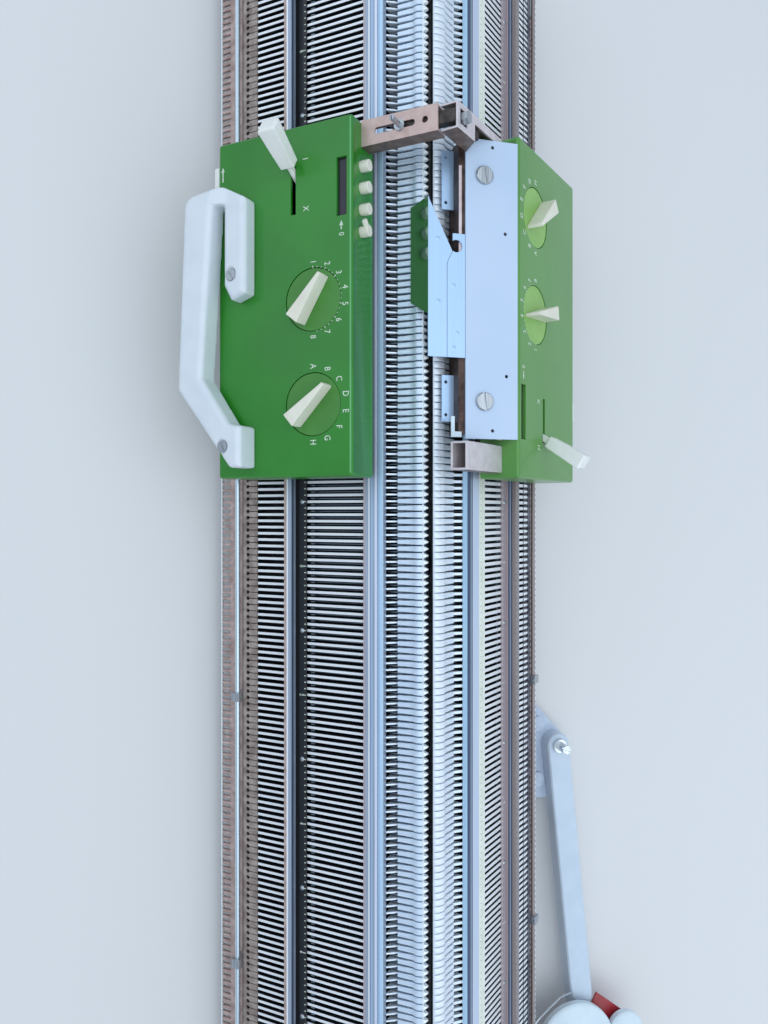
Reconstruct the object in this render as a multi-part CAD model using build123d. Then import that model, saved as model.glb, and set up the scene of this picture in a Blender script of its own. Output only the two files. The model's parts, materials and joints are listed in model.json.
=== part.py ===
from build123d import *
import math
import os

# Overall stance: two beds lean together at the ridge and stand on end frames
bed_slope = 41.4
ridge_height = 145.0
throat_half = 2.4
bed_half_length = 545.0

# Needle channels
needle_pitch = 5.0
rib_count = 199
rib_width = 3.0
rib_top = 8.0
nose_top = 0.6
nose_crest_place = 9.0
nose_crest_height = 4.8
comb_start = 25.5
nose_slope_end = 33.0
rib_end = 147.0
channel_floor = -0.5
plate_bottom = -3.0
bed_edge = 190.0
needle_count = 180
needle_width = 1.4
needle_depth = 3.0
needle_nose = 14.0
needle_length = 112.0
needle_float = 0.3

# Rails and strips that lie on the ribs, as distances down the slope
ridge_rail_start = 33.0
ridge_rail_width = 16.0
ridge_rail_height = 6.0
rail_groove_width = 2.0
rail_groove_depth = 2.2
number_strip_start = 101.0
number_strip_width = 8.0
number_strip_thickness = 1.6
lock_rail_width = 7.0
lock_rail_height = 10.0
lock_rail_foot = 2.0
heel_strip_start = 147.5
heel_strip_width = 14.5
heel_strip_height = 9.0
heel_strip_wall = 1.2
rod_radius = 2.0
rod_slope_place = 166.0
rod_height = 9.6
post_count = 6
post_width = 8.0
post_length = 7.0
bar_size = 12.0
bar_wall = 2.0
upper_bar_start = 30.0
lower_bar_start = 108.0

# End frames, middle foot and rubber feet
frame_thickness = 18.0
frame_reach = 118.0
frame_foot_height = 12.0
frame_top_place = 22.0
frame_window_low = 78.0
frame_window_high = 16.0
frame_window_drop = 30.0
frame_rim = 4.0
middle_upright = 16.0
flange_length = 26.0
bolt_hole_radius = 3.3
bolt_spacing_y = 180.0
foot_radius = 11.0
foot_height = 6.0
middle_foot_width = 30.0

# Lock housings
lock_center = -193.0
lock_start = 38.0
lock_width = 114.5
lock_bottom = 20.5
lock_top = 52.0
lock_wall = 2.5
lock_edge_radius = 2.5
base_thickness = 2.5
fit_gap = 0.3
shoe_length = 232.0
cheek_width = 2.6
cheek_drop = 8.0

# Cam plate under each lock
cam_plate_start = 54.0
cam_plate_width = 44.0
cam_plate_length = 216.0
cam_plate_thickness = 3.0
cam_height = 7.5

# Dials, as places along the lock and down the slope
dial_radius = 22.2
dial_gap = 0.5
dial_slope_place = 69.5
stitch_dial_place = 0.0
letter_dial_place = 74.5
dial_thickness = 3.0
dial_recess = 0.4
dial_shaft_radius = 5.0
pointer_length = 37.5
pointer_tip_reach = 19.0
pointer_wide = 11.0
pointer_narrow = 2.4
pointer_height = 12.5
pointer_edge = 0.6
front_stitch_turn = 37.6
front_letter_turn = 49.7
back_stitch_turn = 78.6
back_letter_turn = 52.2

# Slot lever
lever_slope_place = 86.0
lever_slot_start = -97.0
lever_slot_length = 34.5
lever_slot_width = 4.4
lever_lean = 32.0
lever_pivot_drop = 21.5
lever_stem_width = 3.2
lever_stem_length = 5.0
lever_foot_width = 11.0
lever_foot_depth = 9.0
lever_cap_height = 33.0
lever_cap_gap = 6.0
lever_cap_taper = 2.4
lever_cap_edge = 1.4
lever_stem_rise = 0.5

# Keys on the inner wall and the strip behind the window
key_radius = 4.15
key_hole_gap = 0.4
key_reach = 6.6
key_tail = 8.0
key_height_place = 37.5
key_first_place = -93.7
key_spacing = 15.4
key_count = 3
turn_key_place = -47.5
turn_key_arm_length = 9.5
turn_key_arm_width = 3.4
turn_key_arm_depth = 3.0
turn_key_front_lean = 45.0
turn_key_back_lean = 0.0
window_start = -97.0
window_length = 41.0
window_slope_place = 46.3
window_width = 8.0
window_strip_thickness = 1.2

# Side slider
slider_length = 16.0
slider_height = 7.0
slider_reach = 5.5
slider_chamfer = 1.2
slider_top_gap = 1.5
slider_travel = 36.0
slider_front_place = -101.5
slider_back_place = -65.5
slider_stem_thickness = 2.0

# Handle of the front lock, in lock terms: outlines as places along it and down the slope
handle_top = 72.0
handle_low = 55.0
foot_top = 66.0
grip_outer = [(-82.0, 169.5), (60.0, 176.0)]
grip_inner = [(52.6, 153.5), (-73.0, 144.5)]
handle_end = [(-77.0, 119.0), (-86.5, 137.0)]
leg_end = [(119.0, 129.0), (119.0, 119.0)]
pad_start = [(89.0, 119.0), (87.0, 129.4)]
foot_outline = [(-77.0, 119.0), (-8.0, 119.0), (-3.5, 132.0), (-15.0, 138.5), (-80.0, 138.5)]
handle_ramp_start = 134.0
handle_ramp_end = 146.0
handle_edge = 4.0
handle_corner = 9.0
foot_edge = 3.0
handle_screw_places = [(-22.5, 132.0), (103.5, 135.0)]
handle_screw_radius = 4.2
handle_screw_height = 1.6
handle_shank_radius = 2.0
handle_pocket_radius = 5.2
handle_pocket_depth = 3.0

# Bow that joins the locks over the ridge
bow_center = -116.5
bow_width = 18.6
bow_top = 38.5
bow_depth = 13.0
bow_wall = 1.6
bow_front_reach = 58.5
bow_back_reach = 70.0
bow_slot_length = 31.0
bow_slot_width = 4.4
bow_slot_place = 26.0
bow_hole_place = 49.0
bow_end_gap = 0.2
stub_gap = 4.0
stub_end_gap = 4.0
stub_reach = 56.5
stub_width = 20.0
bow_screw_radius = 1.9
bow_screw_height = 13.0
link_width = 9.0
link_depth = 7.0
bow_window = 10.0

# Cover plate, yarn guide and their carrier, levels above the ridge
cover_level = 14.0
cover_thickness = 1.5
cover_inner = 21.0
cover_outer = 61.8
cover_start = -119.0
cover_length = 217.0
cover_lip = 4.0
cover_lip_end = 44.0
cover_screw_radius = 6.75
cover_screw_height = 2.2
cover_screw_first = -93.0
cover_screw_second = 71.0
cover_screw_place = 35.5
carrier_thickness = 1.5
carrier_inner = 16.0
carrier_outer = 43.0
carrier_drop = 19.0
guide_edge = -7.4
guide_start = -74.0
guide_shoulder = -36.0
guide_end = 40.0
guide_shoulder_place = 11.0
guide_thickness = 1.2
guide_notch_radius = 4.5
guide_notch_place = -40.0
guide_flange = 17.0
guide_flange_angle = 60.0
stripper_inner = 7.0
stripper_level = 2.0
stripper_thickness = 1.6

# Swing arm on the back and its tension head
bracket_place = 182.0
bracket_length = 88.0
bracket_thickness = 6.0
bracket_inner = 122.0
bracket_outer = 177.0
bracket_top = 14.0
boss_radius = 7.0
boss_height = 3.0
arm_pivot_place = 174.0
arm_pivot_side = 164.0
arm_width = 22.0
arm_thickness = 14.0
arm_length = 268.0
arm_turn = 5.8
arm_pin_radius = 4.0
arm_pin_height = 16.0
tension_plate_thickness = 2.0
disc_thickness = 7.0
wire_radius = 1.0

cover_shank_radius = 2.5
cover_hole_radius = 1.3
cover_holes = [(-114.0, 42.0), (-52.0, 52.0), (52.0, 53.0), (92.0, 42.0)]
carrier_web_start = -100.0
carrier_web_end = 36.0
guide_seam = 6.8
guide_inner_start = -49.0
guide_notch_side = 14.0
guide_flange_end = 10.0
guide_tongue_start = -28.0
guide_tongue_edge = 1.0
stripper_ends = [(-113.0, -70.0), (51.0, 85.0)]
link_front_end = 14.0
link_back_end = 3.0
nut_place = 61.0
nut_radius = 4.6
nut_height = 6.0
bow_screw_place = 30.0
boss_side = 148.0
lug_start = 168.0
lug_end = 188.0
lug_low = -9.0
arm_edge = 1.4
tension_start = 258.0
tension_outline = [(0, -14), (62, -14), (70, 40), (8, 46), (-22, 14), (-10, 6)]
disc_places = [(272.0, -16.0, 38.0), (272.0, 36.0, 17.0)]
disc_stand = 4.0
disc_edge = 2.0
wire_points = [(431, 189, 31.35), (402, 175, 32), (398, 158, 42), (404, 130, 56), (419, 107, 64)]
wire_bend = 5.0

lock_end = lock_start + lock_width
stub_inner = max(cover_start + cover_length, key_radius - key_first_place) + stub_gap
stub_center = stub_inner + stub_width / 2
bow_end = bow_width / 2 - bow_center + bow_end_gap
stub_end = stub_center + stub_width / 2 + stub_end_gap
lock_length = 2 * max(bow_end, stub_end)
lock_rail_start = number_strip_start + number_strip_width
pitch_span = (rib_count - 1) * needle_pitch / 2
slope = math.radians(bed_slope)
bed_plane = Plane(
    origin=(0, 0, ridge_height), x_dir=(1, 0, 0), z_dir=(0, -math.sin(slope), math.cos(slope))
)
nose_start = throat_half / math.cos(slope)
half_turn = Rot(0, 0, 180)


def slab(x0, x1, t0, t1, h0, h1):
    """A block in bed terms: along the bed, down the slope and up from it."""
    block = Box(x1 - x0, t1 - t0, h1 - h0)
    return Pos((x0 + x1) / 2, -(t0 + t1) / 2, (h0 + h1) / 2) * block


def section_along(points, x0, x1):
    """A slope-and-height outline carried along the bed."""
    corners = [(x0, -t, h) for t, h in points]
    outline = make_face(Polyline(*corners, close=True))
    return extrude(outline, amount=x1 - x0, dir=(1, 0, 0))


def cross_section(points, x0, x1):
    """An outline across the machine, in side and level terms, carried along it."""
    corners = [(x0, y, z) for y, z in points]
    outline = make_face(Polyline(*corners, close=True))
    return extrude(outline, amount=x1 - x0, dir=(1, 0, 0))


def plan_prism(points, h0, h1):
    """A plan outline in bed terms, raised from one height to another."""
    corners = [(x, -t, h0) for x, t in points]
    outline = make_face(Polyline(*corners, close=True))
    return extrude(outline, amount=h1 - h0, dir=(0, 0, 1))


def post_at(x, t, h0, h1, radius):
    """A round post square to the bed."""
    return Pos(x, -t, (h0 + h1) / 2) * Cylinder(radius, h1 - h0)


def on_front(shape):
    return bed_plane.location * shape


def on_back(shape):
    return half_turn * on_front(shape)


def on_front_lock(shape):
    return Pos(lock_center, 0, 0) * on_front(shape)


def on_back_lock(shape):
    return Pos(lock_center, 0, 0) * on_back(shape)


def at_locks(shape):
    """From lock-and-ridge terms to the row's frame."""
    return Pos(lock_center, 0, ridge_height) * shape


def write(name, *shapes):
    solids = []
    for shape in shapes:
        solids += shape.solids()
    result = solids[0] if len(solids) == 1 else Compound(children=solids)
    export_step(result, f"parts/{name}.step")


# Needle bed


def channel_bed():
    """Bed plate and ribs as one comb down the slope, low at the nose and upright below it."""
    points = [(-bed_half_length, plate_bottom), (-bed_half_length, channel_floor)]
    for index in range(rib_count):
        center = index * needle_pitch - pitch_span
        left = center - rib_width / 2
        right = center + rib_width / 2
        points += [(left, channel_floor), (left, rib_top), (right, rib_top), (right, channel_floor)]
    points += [(bed_half_length, channel_floor), (bed_half_length, plate_bottom)]
    outline = make_face(Polyline(*[(x, -nose_start, h) for x, h in points], close=True))
    comb = extrude(outline, amount=rib_end - nose_start, dir=(0, -1, 0))
    rise = (nose_crest_height - nose_top) / (nose_crest_place - nose_start)
    ramp = section_along(
        [
            (nose_start - 1, nose_top - rise),
            (nose_crest_place, nose_crest_height),
            (comb_start, nose_crest_height),
            (nose_slope_end, rib_top),
            (nose_slope_end, rib_top + 2),
            (nose_start - 1, rib_top + 2),
        ],
        -bed_half_length - 1,
        bed_half_length + 1,
    )
    under_nose = section_along(
        [
            (nose_start - 1, plate_bottom - 1),
            (nose_start - (plate_bottom - 1) * math.tan(slope), plate_bottom - 1),
            (nose_start, 0),
            (nose_start - 1, 0),
        ],
        -bed_half_length - 1,
        bed_half_length + 1,
    )
    edge_plate = slab(
        -bed_half_length, bed_half_length, rib_end, bed_edge, plate_bottom, channel_floor
    )
    return comb - ramp - under_nose + edge_plate


def needle_row():
    """Flat needle stems, one in each channel of the working width."""
    first = -(needle_count - 1) * needle_pitch / 2
    low = channel_floor + needle_float
    stems = []
    for index in range(needle_count):
        center = first + index * needle_pitch
        stem = slab(
            center - needle_width / 2,
            center + needle_width / 2,
            needle_nose,
            needle_nose + needle_length,
            low,
            low + needle_depth,
        )
        stems.append(stem)
    return stems


def ridge_rail():
    """Extruded rail with two grooves in its top and a step on its outer side."""
    low = rib_top
    high = rib_top + ridge_rail_height
    inner = ridge_rail_start
    outer = ridge_rail_start + ridge_rail_width
    first = inner + ridge_rail_width * 0.3
    second = inner + ridge_rail_width * 0.62
    groove = rail_groove_width
    return section_along(
        [
            (inner, low),
            (inner, high - 1),
            (inner + 1, high),
            (first, high),
            (first, high - rail_groove_depth),
            (first + groove, high - rail_groove_depth),
            (first + groove, high),
            (second, high),
            (second, high - rail_groove_depth),
            (second + groove, high - rail_groove_depth),
            (second + groove, high),
            (outer - 1, high),
            (outer, high - 1),
            (outer, low),
        ],
        -bed_half_length,
        bed_half_length,
    )


def lock_rail():
    """Rail that the lock's shoe grips: a foot on the ribs and an upright bar."""
    inner = lock_rail_start
    outer = inner + lock_rail_width
    high = rib_top + lock_rail_height
    return section_along(
        [
            (inner, rib_top),
            (inner, rib_top + lock_rail_foot),
            (inner + 0.8, rib_top + lock_rail_foot),
            (inner + 0.8, high - 0.8),
            (inner + 1.6, high),
            (outer - 0.8, high),
            (outer, high - 0.8),
            (outer, rib_top),
        ],
        -bed_half_length,
        bed_half_length,
    )


def number_strip():
    return slab(
        -bed_half_length,
        bed_half_length,
        number_strip_start,
        lock_rail_start,
        rib_top,
        rib_top + number_strip_thickness,
    )


def heel_strip():
    """Folded strip over the lower channel ends, open below."""
    inner = heel_strip_start
    outer = inner + heel_strip_width
    wall = heel_strip_wall
    high = channel_floor + heel_strip_height
    return section_along(
        [
            (inner, channel_floor),
            (inner, high),
            (outer, high),
            (outer, channel_floor),
            (outer - wall, channel_floor),
            (outer - wall, high - wall),
            (inner + wall, high - wall),
            (inner + wall, channel_floor),
        ],
        -bed_half_length,
        bed_half_length,
    )


def rod_posts():
    """Small posts, bored for the rod."""
    spacing = 2 * (bed_half_length - post_length) / (post_count - 1)
    posts = []
    for index in range(post_count):
        center = index * spacing - bed_half_length + post_length
        post = slab(
            center - post_length / 2,
            center + post_length / 2,
            rod_slope_place - post_width / 2,
            rod_slope_place + post_width / 2,
            channel_floor,
            rod_height + rod_radius + 1.5,
        )
        bore = Pos(center, -rod_slope_place, rod_height) * Rot(0, 90, 0)
        posts.append(post - bore * Cylinder(rod_radius + 0.05, post_length + 2))
    return posts


def long_rod():
    return Pos(0, -rod_slope_place, rod_height) * Rot(0, 90, 0) * Cylinder(
        rod_radius, 2 * bed_half_length
    )


def bed_bars():
    """Two square tubes that stiffen the bed from below, between the end frames."""
    reach = frame_center - frame_thickness / 2
    bars = []
    for start in (upper_bar_start, lower_bar_start):
        low = plate_bottom - bar_size
        outer = slab(-reach, reach, start, start + bar_size, low, plate_bottom)
        inner = slab(
            -reach - 1,
            reach + 1,
            start + bar_wall,
            start + bar_size - bar_wall,
            low + bar_wall,
            plate_bottom - bar_wall,
        )
        bars.append(outer - inner)
    return bars


os.makedirs("parts", exist_ok=True)
frame_center = bed_half_length - frame_thickness / 2 - flange_length - 4
sides = (("front", on_front), ("back", on_back))
for side, place in sides:
    write(f"{side}_needle_bed", place(channel_bed()))
    write(f"{side}_needles", *[place(stem) for stem in needle_row()])
    write(f"{side}_ridge_rail", place(ridge_rail()))
    write(f"{side}_heel_strip", place(heel_strip()))
write("number_strips", *[place(number_strip()) for side, place in sides])
write("lock_rails", *[place(lock_rail()) for side, place in sides])
write("rod_posts", *[place(post) for side, place in sides for post in rod_posts()])
write("long_rods", *[place(long_rod()) for side, place in sides])
write("bed_bars", *[place(bar) for side, place in sides for bar in bed_bars()])


# Frames below the beds


def under_bed(distance):
    """Side and level of the bed plate's underside, this far down the slope."""
    side = distance * math.cos(slope) + plate_bottom * math.sin(slope)
    level = ridge_height - distance * math.sin(slope) + plate_bottom * math.cos(slope)
    return side, level


def slope_at(side):
    """Slope distance at which the underside reaches this far out."""
    return (side - plate_bottom * math.sin(slope)) / math.cos(slope)


def end_frame(center):
    """Cast A-frame under both beds, with a window and bolt flanges at its feet."""
    top_side, top_level = under_bed(frame_top_place)
    outer_side, outer_level = under_bed(slope_at(frame_reach))
    outline = [
        (-frame_reach, foot_height),
        (frame_reach, foot_height),
        (frame_reach, outer_level),
        (top_side, top_level),
        (-top_side, top_level),
        (-frame_reach, outer_level),
    ]
    body = cross_section(outline, center - frame_thickness / 2, center + frame_thickness / 2)
    window_low = foot_height + frame_foot_height + frame_rim
    window = [
        (-frame_window_low, window_low),
        (frame_window_low, window_low),
        (frame_window_high, top_level - frame_window_drop),
        (-frame_window_high, top_level - frame_window_drop),
    ]
    body -= cross_section(window, center - frame_thickness, center + frame_thickness)
    pad_middle = foot_height + frame_foot_height / 2
    inward = -math.copysign(frame_thickness / 2 + flange_length / 2, center)
    for sign in (-1, 1):
        pad = Pos(center, sign * bolt_spacing_y / 2, pad_middle)
        body += pad * Box(frame_thickness + 2 * flange_length, 2 * foot_radius + 4, frame_foot_height)
    for sign in (-1, 1):
        hole = Pos(center + inward, sign * bolt_spacing_y / 2, pad_middle)
        body -= hole * Cylinder(bolt_hole_radius, frame_foot_height + 2)
    return body


def rubber_feet():
    feet = []
    for end in (-1, 1):
        outward = end * (frame_center + frame_thickness / 2 + flange_length / 2)
        for sign in (-1, 1):
            foot = Pos(outward, sign * bolt_spacing_y / 2, foot_height / 2)
            feet.append(foot * Cylinder(foot_radius, foot_height))
    return feet


def middle_foot():
    """Low cross bar on the table with an upright to each bed, clear of the throat."""
    wide = middle_foot_width / 2
    bar = Pos(0, 0, frame_foot_height / 2) * Box(
        middle_foot_width, 2 * frame_reach, frame_foot_height
    )
    inner = frame_reach - middle_upright
    outer_side, outer_level = under_bed(slope_at(frame_reach))
    inner_side, inner_level = under_bed(slope_at(inner))
    for sign in (-1, 1):
        upright = [
            (sign * inner_side, 0),
            (sign * outer_side, 0),
            (sign * outer_side, outer_level),
            (sign * inner_side, inner_level),
        ]
        bar += cross_section(upright, -wide, wide)
    return bar


write("left_end_frame", end_frame(-frame_center))
write("right_end_frame", end_frame(frame_center))
write("middle_foot", middle_foot())
write("rubber_feet", *rubber_feet())


# Locks


def lock_shell():
    """Thin pressed housing, open below, with its dial holes, slot, window and key holes."""
    half = lock_length / 2
    outer = slab(-half, half, lock_start, lock_end, lock_bottom, lock_top)
    top_edges = outer.edges().group_by(Axis.Z)[-1]
    corner_edges = outer.edges().filter_by(Axis.Z)
    outer = fillet(top_edges + corner_edges, lock_edge_radius)
    wall = lock_wall
    hollow = slab(
        -half + wall,
        half - wall,
        lock_start + wall,
        lock_end - wall,
        lock_bottom - 1,
        lock_top - wall,
    )
    shell = outer - hollow
    for place in (stitch_dial_place, letter_dial_place):
        shell -= post_at(place, dial_slope_place, lock_top - 5, lock_top + 1, dial_radius + dial_gap)
    shell -= slab(
        lever_slot_start,
        lever_slot_start + lever_slot_length,
        lever_slope_place - lever_slot_width / 2,
        lever_slope_place + lever_slot_width / 2,
        lock_top - 5,
        lock_top + 1,
    )
    shell -= slab(
        window_start,
        window_start + window_length,
        window_slope_place - window_width / 2,
        window_slope_place + window_width / 2,
        lock_top - 5,
        lock_top + 1,
    )
    for place in key_places() + [turn_key_place]:
        hole = Pos(place, -lock_start, key_height_place) * Rot(90, 0, 0)
        shell -= hole * Cylinder(key_radius + key_hole_gap, 4 * wall)
    stem_low, stem_high = slider_stem_levels()
    slot_start = slider_front_place - slider_length / 4 - 1
    slot_end = slider_front_place + slider_travel + slider_length / 4 + 1
    shell -= slab(
        slot_start,
        slot_end,
        lock_end - 2 * wall,
        lock_end + 1,
        stem_low - fit_gap,
        stem_high + fit_gap,
    )
    return shell


def key_places():
    return [key_first_place + index * key_spacing for index in range(key_count)]


def slider_stem_levels():
    middle = lock_top - slider_top_gap - slider_height / 2
    return middle - slider_stem_thickness / 2, middle + slider_stem_thickness / 2


def lock_base():
    """Floor plate with the shoe on the ridge rail and the cheeks that grip the lock rail."""
    half = lock_length / 2 - lock_wall - fit_gap
    floor = slab(
        -half,
        half,
        lock_start + lock_wall + fit_gap,
        lock_end - lock_wall - fit_gap,
        lock_bottom,
        lock_bottom + base_thickness,
    )
    reach = shoe_length / 2
    rail_top = rib_top + ridge_rail_height
    shoe = slab(
        -reach,
        reach,
        lock_start + lock_wall + fit_gap,
        ridge_rail_start + ridge_rail_width - 1,
        rail_top + fit_gap,
        lock_bottom + 1,
    )
    inner = lock_rail_start
    outer = lock_rail_start + lock_rail_width
    low = lock_bottom - cheek_drop
    inner_cheek = slab(-reach, reach, inner - cheek_width, inner - fit_gap, low, lock_bottom + 1)
    outer_cheek = slab(
        -reach, reach, outer + fit_gap, outer + fit_gap + cheek_width, low, lock_bottom + 1
    )
    return floor + shoe + inner_cheek + outer_cheek


def cam_plate():
    """Plate with the cams that steer the needle butts: a raising cam, two lowering cams, guards."""
    half = cam_plate_length / 2
    high = lock_bottom
    low = high - cam_plate_thickness
    start = cam_plate_start
    end = start + cam_plate_width
    plate = slab(-half, half, start, end, low, high)
    cam_low = low - cam_height
    peak = start + 10
    base = end - 6
    raising = [(-40, base), (-12, peak), (12, peak), (40, base)]
    lowering = [(22, start + 2), (58, start + 2), (58, base - 10), (48, base - 10)]
    lowering_other = [(-x, t) for x, t in lowering]
    guard = [(68, base - 4), (half, base + 2), (half, end), (60, end)]
    guard_other = [(-x, t) for x, t in guard]
    for outline in (raising, lowering, lowering_other, guard, guard_other):
        plate += plan_prism(outline, cam_low, low + 0.5)
    return plate


def dial(place):
    """Disc level with the lock's top, on a shaft down to the floor plate."""
    top = lock_top - dial_recess
    disc = post_at(place, dial_slope_place, top - dial_thickness, top, dial_radius)
    shaft = post_at(
        place,
        dial_slope_place,
        lock_bottom + base_thickness + fit_gap,
        top - dial_thickness + 1,
        dial_shaft_radius,
    )
    return disc + shaft


def pointer(place, turn):
    """Knob that is a long wedge in plan, level on top, its thin end towards the scale."""
    base = lock_top - dial_recess
    tail = pointer_tip_reach - pointer_length
    wide = pointer_wide / 2
    thin = pointer_narrow / 2
    outline = make_face(
        Polyline(
            (tail, -wide, base),
            (pointer_tip_reach, -thin, base),
            (pointer_tip_reach, thin, base),
            (tail, wide, base),
            close=True,
        )
    )
    knob = extrude(outline, amount=pointer_height, dir=(0, 0, 1))
    knob = chamfer(knob.edges().group_by(Axis.Z)[-1], pointer_edge)
    return Pos(place, -dial_slope_place, 0) * Rot(0, 0, 180 - turn) * knob


def slot_lever():
    """Cap that widens upwards, on a flat stem through the slot, leaning on its pivot."""
    pivot_height = lock_top - lever_pivot_drop
    pivot_x = lever_slot_start + lever_slot_length / 2
    cap_low = lever_pivot_drop / math.cos(math.radians(lever_lean)) + lever_cap_gap
    foot = Plane.XY.offset(cap_low) * Rectangle(lever_foot_depth, lever_foot_width)
    cap = extrude(foot, amount=lever_cap_height, taper=-lever_cap_taper)
    cap = chamfer(cap.edges().group_by(Axis.Z)[-1], lever_cap_edge)
    stem_height = cap_low + 1 - lever_stem_rise
    stem = Pos(0, 0, lever_stem_rise + stem_height / 2) * Box(
        lever_stem_length, lever_stem_width, stem_height
    )
    lever = cap + stem
    return Pos(pivot_x, -lever_slope_place, pivot_height) * Rot(0, -lever_lean, 0) * lever


def push_key(place):
    """Twelve-sided key that goes through the inner wall."""
    length = key_reach + key_tail
    outline = RegularPolygon(key_radius, 12)
    key = extrude(outline, amount=length)
    return Pos(place, key_reach - lock_start, key_height_place) * Rot(90, 0, 0) * key


def turn_key(place, lean):
    """Round key with a small lever on its face."""
    arm = Pos(1 - turn_key_arm_length / 2, 0, 0) * Box(
        turn_key_arm_length, turn_key_arm_depth, turn_key_arm_width
    )
    middle = Pos(place, key_reach - lock_start - turn_key_arm_depth / 2, key_height_place)
    return push_key(place) + middle * Rot(0, lean, 0) * arm


def side_slider(place):
    """Small grip outside the outer wall with a stem through its slot."""
    low, high = slider_stem_levels()
    top = lock_top - slider_top_gap
    grip = slab(
        place - slider_length / 2,
        place + slider_length / 2,
        lock_end + fit_gap,
        lock_end + slider_reach,
        top - slider_height,
        top,
    )
    grip = chamfer(grip.edges().group_by(Axis.Y)[0], slider_chamfer)
    stem = slab(
        place - slider_length / 4, place + slider_length / 4, lock_end - 8, lock_end + 1, low, high
    )
    return grip + stem


def window_strip():
    """Marked strip that shows through the window, held under the lock's top."""
    return slab(
        window_start - 2,
        window_start + window_length + 2,
        window_slope_place - window_width / 2 - 1,
        window_slope_place + window_width / 2 + 1,
        lock_top - lock_wall - window_strip_thickness,
        lock_top - lock_wall,
    )


front_states = (front_stitch_turn, front_letter_turn, slider_front_place, turn_key_front_lean)
back_states = (back_stitch_turn, back_letter_turn, slider_back_place, turn_key_back_lean)
locks = (("front", on_front_lock, front_states), ("back", on_back_lock, back_states))
for side, place, states in locks:
    stitch_turn, letter_turn, slider_place, key_lean = states
    write(f"{side}_lock_cover", place(lock_shell()))
    write(f"{side}_lock_base", place(lock_base()))
    write(f"{side}_stitch_dial", place(dial(stitch_dial_place)))
    write(f"{side}_stitch_pointer", place(pointer(stitch_dial_place, stitch_turn)))
    write(f"{side}_letter_dial", place(dial(letter_dial_place)))
    write(f"{side}_letter_pointer", place(pointer(letter_dial_place, letter_turn)))
    write(f"{side}_slot_lever", place(slot_lever()))
    for index, key_place in enumerate(key_places()):
        write(f"{side}_key_{index + 1}", place(push_key(key_place)))
    write(f"{side}_turn_key", place(turn_key(turn_key_place, key_lean)))
    write(f"{side}_side_slider", place(side_slider(slider_place)))
write("cam_plates", *[place(cam_plate()) for side, place, states in locks])
write("window_strips", *[place(window_strip()) for side, place, states in locks])


# Handle


def handle():
    """Moulded grip beyond the outer wall, with a slanted leg to its pad and a foot bar."""
    grip = plan_prism(
        grip_outer + leg_end + pad_start + grip_inner + handle_end, handle_low, handle_top
    )
    corners = grip.edges().filter_by(Axis.Z)
    grip = fillet(corners.sort_by_distance((grip_outer[0][0], -grip_outer[0][1], 60))[:1], handle_corner)
    grip = fillet(grip.edges().group_by(Axis.Z)[-1], handle_edge)
    rise = (handle_top - foot_top) / (handle_ramp_end - handle_ramp_start)
    ramp = section_along(
        [
            (handle_ramp_end, handle_top),
            (lock_start, handle_top - rise * (handle_ramp_end - lock_start)),
            (lock_start, handle_top + 1),
            (handle_ramp_end, handle_top + 1),
        ],
        handle_end[1][0] - 1,
        grip_inner[1][0] + 1,
    )
    level = section_along(
        [
            (handle_ramp_start, foot_top),
            (lock_start, foot_top),
            (lock_start, 0),
            (handle_ramp_start, 0),
        ],
        handle_end[1][0] - 1,
        grip_inner[1][0] + 1,
    )
    foot = plan_prism(foot_outline, lock_top, foot_top)
    foot = chamfer(foot.edges().group_by(Axis.Z)[-1], foot_edge)
    pad = plan_prism(pad_start + leg_end, lock_top, handle_low + 1)
    return grip - (ramp - level) + foot + pad


def handle_screw(place, distance, seat):
    """Slotted head let into the handle's top, on its shank down to the lock."""
    top = seat + handle_screw_height
    head = post_at(place, distance, seat, top, handle_screw_radius)
    shank = post_at(place, distance, lock_top, seat + 0.5, handle_shank_radius)
    slot = Pos(place, -distance, top) * Rot(0, 0, 35) * Box(12, 1.1, 1.6)
    return head + shank - slot


def handle_screw_hole(place, distance, seat):
    """Bore for the shank, with a round pocket for the head."""
    bore = post_at(place, distance, lock_top - 1, seat + 1, handle_shank_radius + 0.15)
    pocket = post_at(place, distance, seat, seat + 30, handle_pocket_radius)
    return bore + pocket


handle_body = handle()
handle_screws = []
for (place, distance), top in zip(handle_screw_places, (foot_top, handle_top)):
    seat = top - handle_pocket_depth
    handle_body -= handle_screw_hole(place, distance, seat)
    handle_screws.append(handle_screw(place, distance, seat))
write("handle", on_front_lock(handle_body))


# Bow over the ridge


def bow_channel(center, reach):
    """Folded channel, open below, from a lock's inner wall up to the ridge."""
    half = bow_width / 2
    wall = bow_wall
    low = bow_top - bow_depth
    outer = slab(center - half, center + half, lock_start - reach, lock_start, low, bow_top)
    inner = slab(
        center - half + wall,
        center + half - wall,
        lock_start - reach - 1,
        lock_start + 1,
        low - 1,
        bow_top - wall,
    )
    return outer - inner


def bow_front_half():
    channel = bow_channel(bow_center, bow_front_reach)
    slot = SlotOverall(bow_slot_length, bow_slot_width, rotation=90)
    slot_cut = extrude(slot, amount=2 * bow_wall, both=True)
    channel -= Pos(bow_center, bow_slot_place - lock_start, bow_top) * slot_cut
    hole = Cylinder(bow_slot_width / 2, 4 * bow_wall)
    return channel - Pos(bow_center, bow_hole_place - lock_start, bow_top) * hole


def bow_back_half():
    channel = bow_channel(-bow_center, bow_back_reach)
    window = Box(bow_window, bow_window, 4 * bow_wall)
    return channel - Pos(-bow_center, nut_place - lock_start, bow_top) * window


def cover_clearance():
    """Room beside the bow for the cover plate, out from its inner edge."""
    width = cover_outer + 2 - cover_inner + fit_gap
    return Pos(
        cover_start + cover_length / 2, cover_inner - fit_gap + width / 2, cover_level
    ) * Box(cover_length + 2 * fit_gap, width, 80)


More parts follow.
